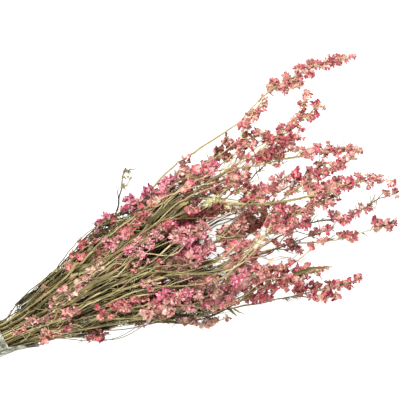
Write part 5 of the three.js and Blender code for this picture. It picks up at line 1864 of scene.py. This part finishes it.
def make_film(stems, material):
    """The film: thin, creased over the stems, flat below, with a slanting front edge and a loose corner."""
    draw = np.random.default_rng([SEED, 102])
    mains = [stem for stem in stems if not stem.parent]
    step = 2 * math.pi / FILM_SIDES
    angles = -math.pi / 2 + step * np.arange(FILM_SIDES)
    shares = [row / (FILM_ROWS - 1) for row in range(FILM_ROWS)]
    creases = draw.normal(0, 1, (FILM_ROWS, FILM_SIDES))
    grid = np.array([
        [film_point(mains, share, angle, step, crease) for angle, crease in zip(angles, row)]
        for share, row in zip(shares, creases)
    ])
    closed = np.concatenate([grid, grid[:, :1]], axis=1)
    normals = unit(np.cross(np.gradient(closed, axis=1), np.gradient(closed, axis=0)))
    inner = grid - normals[:, :-1] * FILM_SHEET
    film = Shape()
    points = np.concatenate([grid.reshape(-1, 3), inner.reshape(-1, 3)])
    film.add(points, film_faces(FILM_ROWS, FILM_SIDES), (0.5, 0.5, 0.5))
    film.piece("film_wrap_creased", material, "clear_film", ["film_wrap"], sharp=180)


# The photograph's view, light and floor


def make_camera():
    lens = bpy.data.cameras.new("camera")
    lens.sensor_width = SENSOR
    lens.lens = SENSOR * (VIEW_DISTANCE - VIEW_HEIGHT) / VIEW_WIDTH
    lens.clip_end = VIEW_END
    camera = add_object("camera", lens)
    camera.location = (VIEW_CENTRE[0] * MM, VIEW_CENTRE[1] * MM, VIEW_DISTANCE * MM)
    camera.rotation_euler = (0, 0, math.radians(VIEW_ROLL))
    bpy.context.scene.camera = camera


def make_light(name, place, size, power):
    data = bpy.data.lights.new(name, "AREA")
    data.shape = "SQUARE"
    data.size = size
    data.energy = power
    light = add_object(name, data)
    light.location = place
    direction = np.array(LAMP_AIM) - np.array(place)
    tilt = math.acos(-direction[2] / np.linalg.norm(direction))
    light.rotation_euler = (tilt, 0, math.atan2(direction[1], direction[0]) - math.pi / 2)


def make_surroundings():
    """The sky's even light, two lamps and the floor that the bunch lies on."""
    world = bpy.data.worlds.new("studio")
    world.use_nodes = True
    background = world.node_tree.nodes["Background"]
    background.inputs["Color"].default_value = WHITE
    background.inputs["Strength"].default_value = SKY_LIGHT
    bpy.context.scene.world = world
    bpy.context.scene.view_settings.view_transform = "Standard"
    for name, lamp in LAMPS.items():
        make_light(name, *lamp)
    mesh = bpy.data.meshes.new("floor")
    corners = [(FLOOR_HALF * x, FLOOR_HALF * y, 0) for x, y in ((-1, -1), (1, -1), (1, 1), (-1, 1))]
    mesh.from_pydata(corners, [], [(0, 1, 2, 3)])
    mesh.materials.append(floor_material())
    add_object("floor", mesh)


def main():
    make_camera()
    make_surroundings()
    materials = {name: petal_material(f"petals_{name}", *tones) for name, tones in PETALS.items()}
    materials |= {name: stem_material(f"stem_{name}", *tones) for name, tones in STEMS.items()}
    stems = make_stems()
    crowd = Crowd()
    clusters = make_clusters(stems, crowd)
    leaves = make_leaves(stems, crowd)
    draw = np.random.default_rng([SEED, 100])
    singles = [single_kind(draw) for _ in range(SINGLE_KINDS)]
    doubles = [double_kind(draw) for _ in range(DOUBLE_KINDS)]
    kinds = {name: singles for name in PETALS} | {"pink": doubles, "rose": singles + doubles}
    buds = [bud_kind(draw) for _ in range(BUD_KINDS)]
    for index, spray in enumerate(SPRAYS):
        make_spray(index, stems, clusters, leaves, kinds[spray["petals"]], buds, materials)
    mains = [stem for stem in stems if not stem.parent and SPRAYS[stem.index]["name"] not in OUTLYING]
    make_fillers(mains, kinds, materials)
    make_shreds(mains, materials["olive"])
    make_film(stems, film_material())


main()
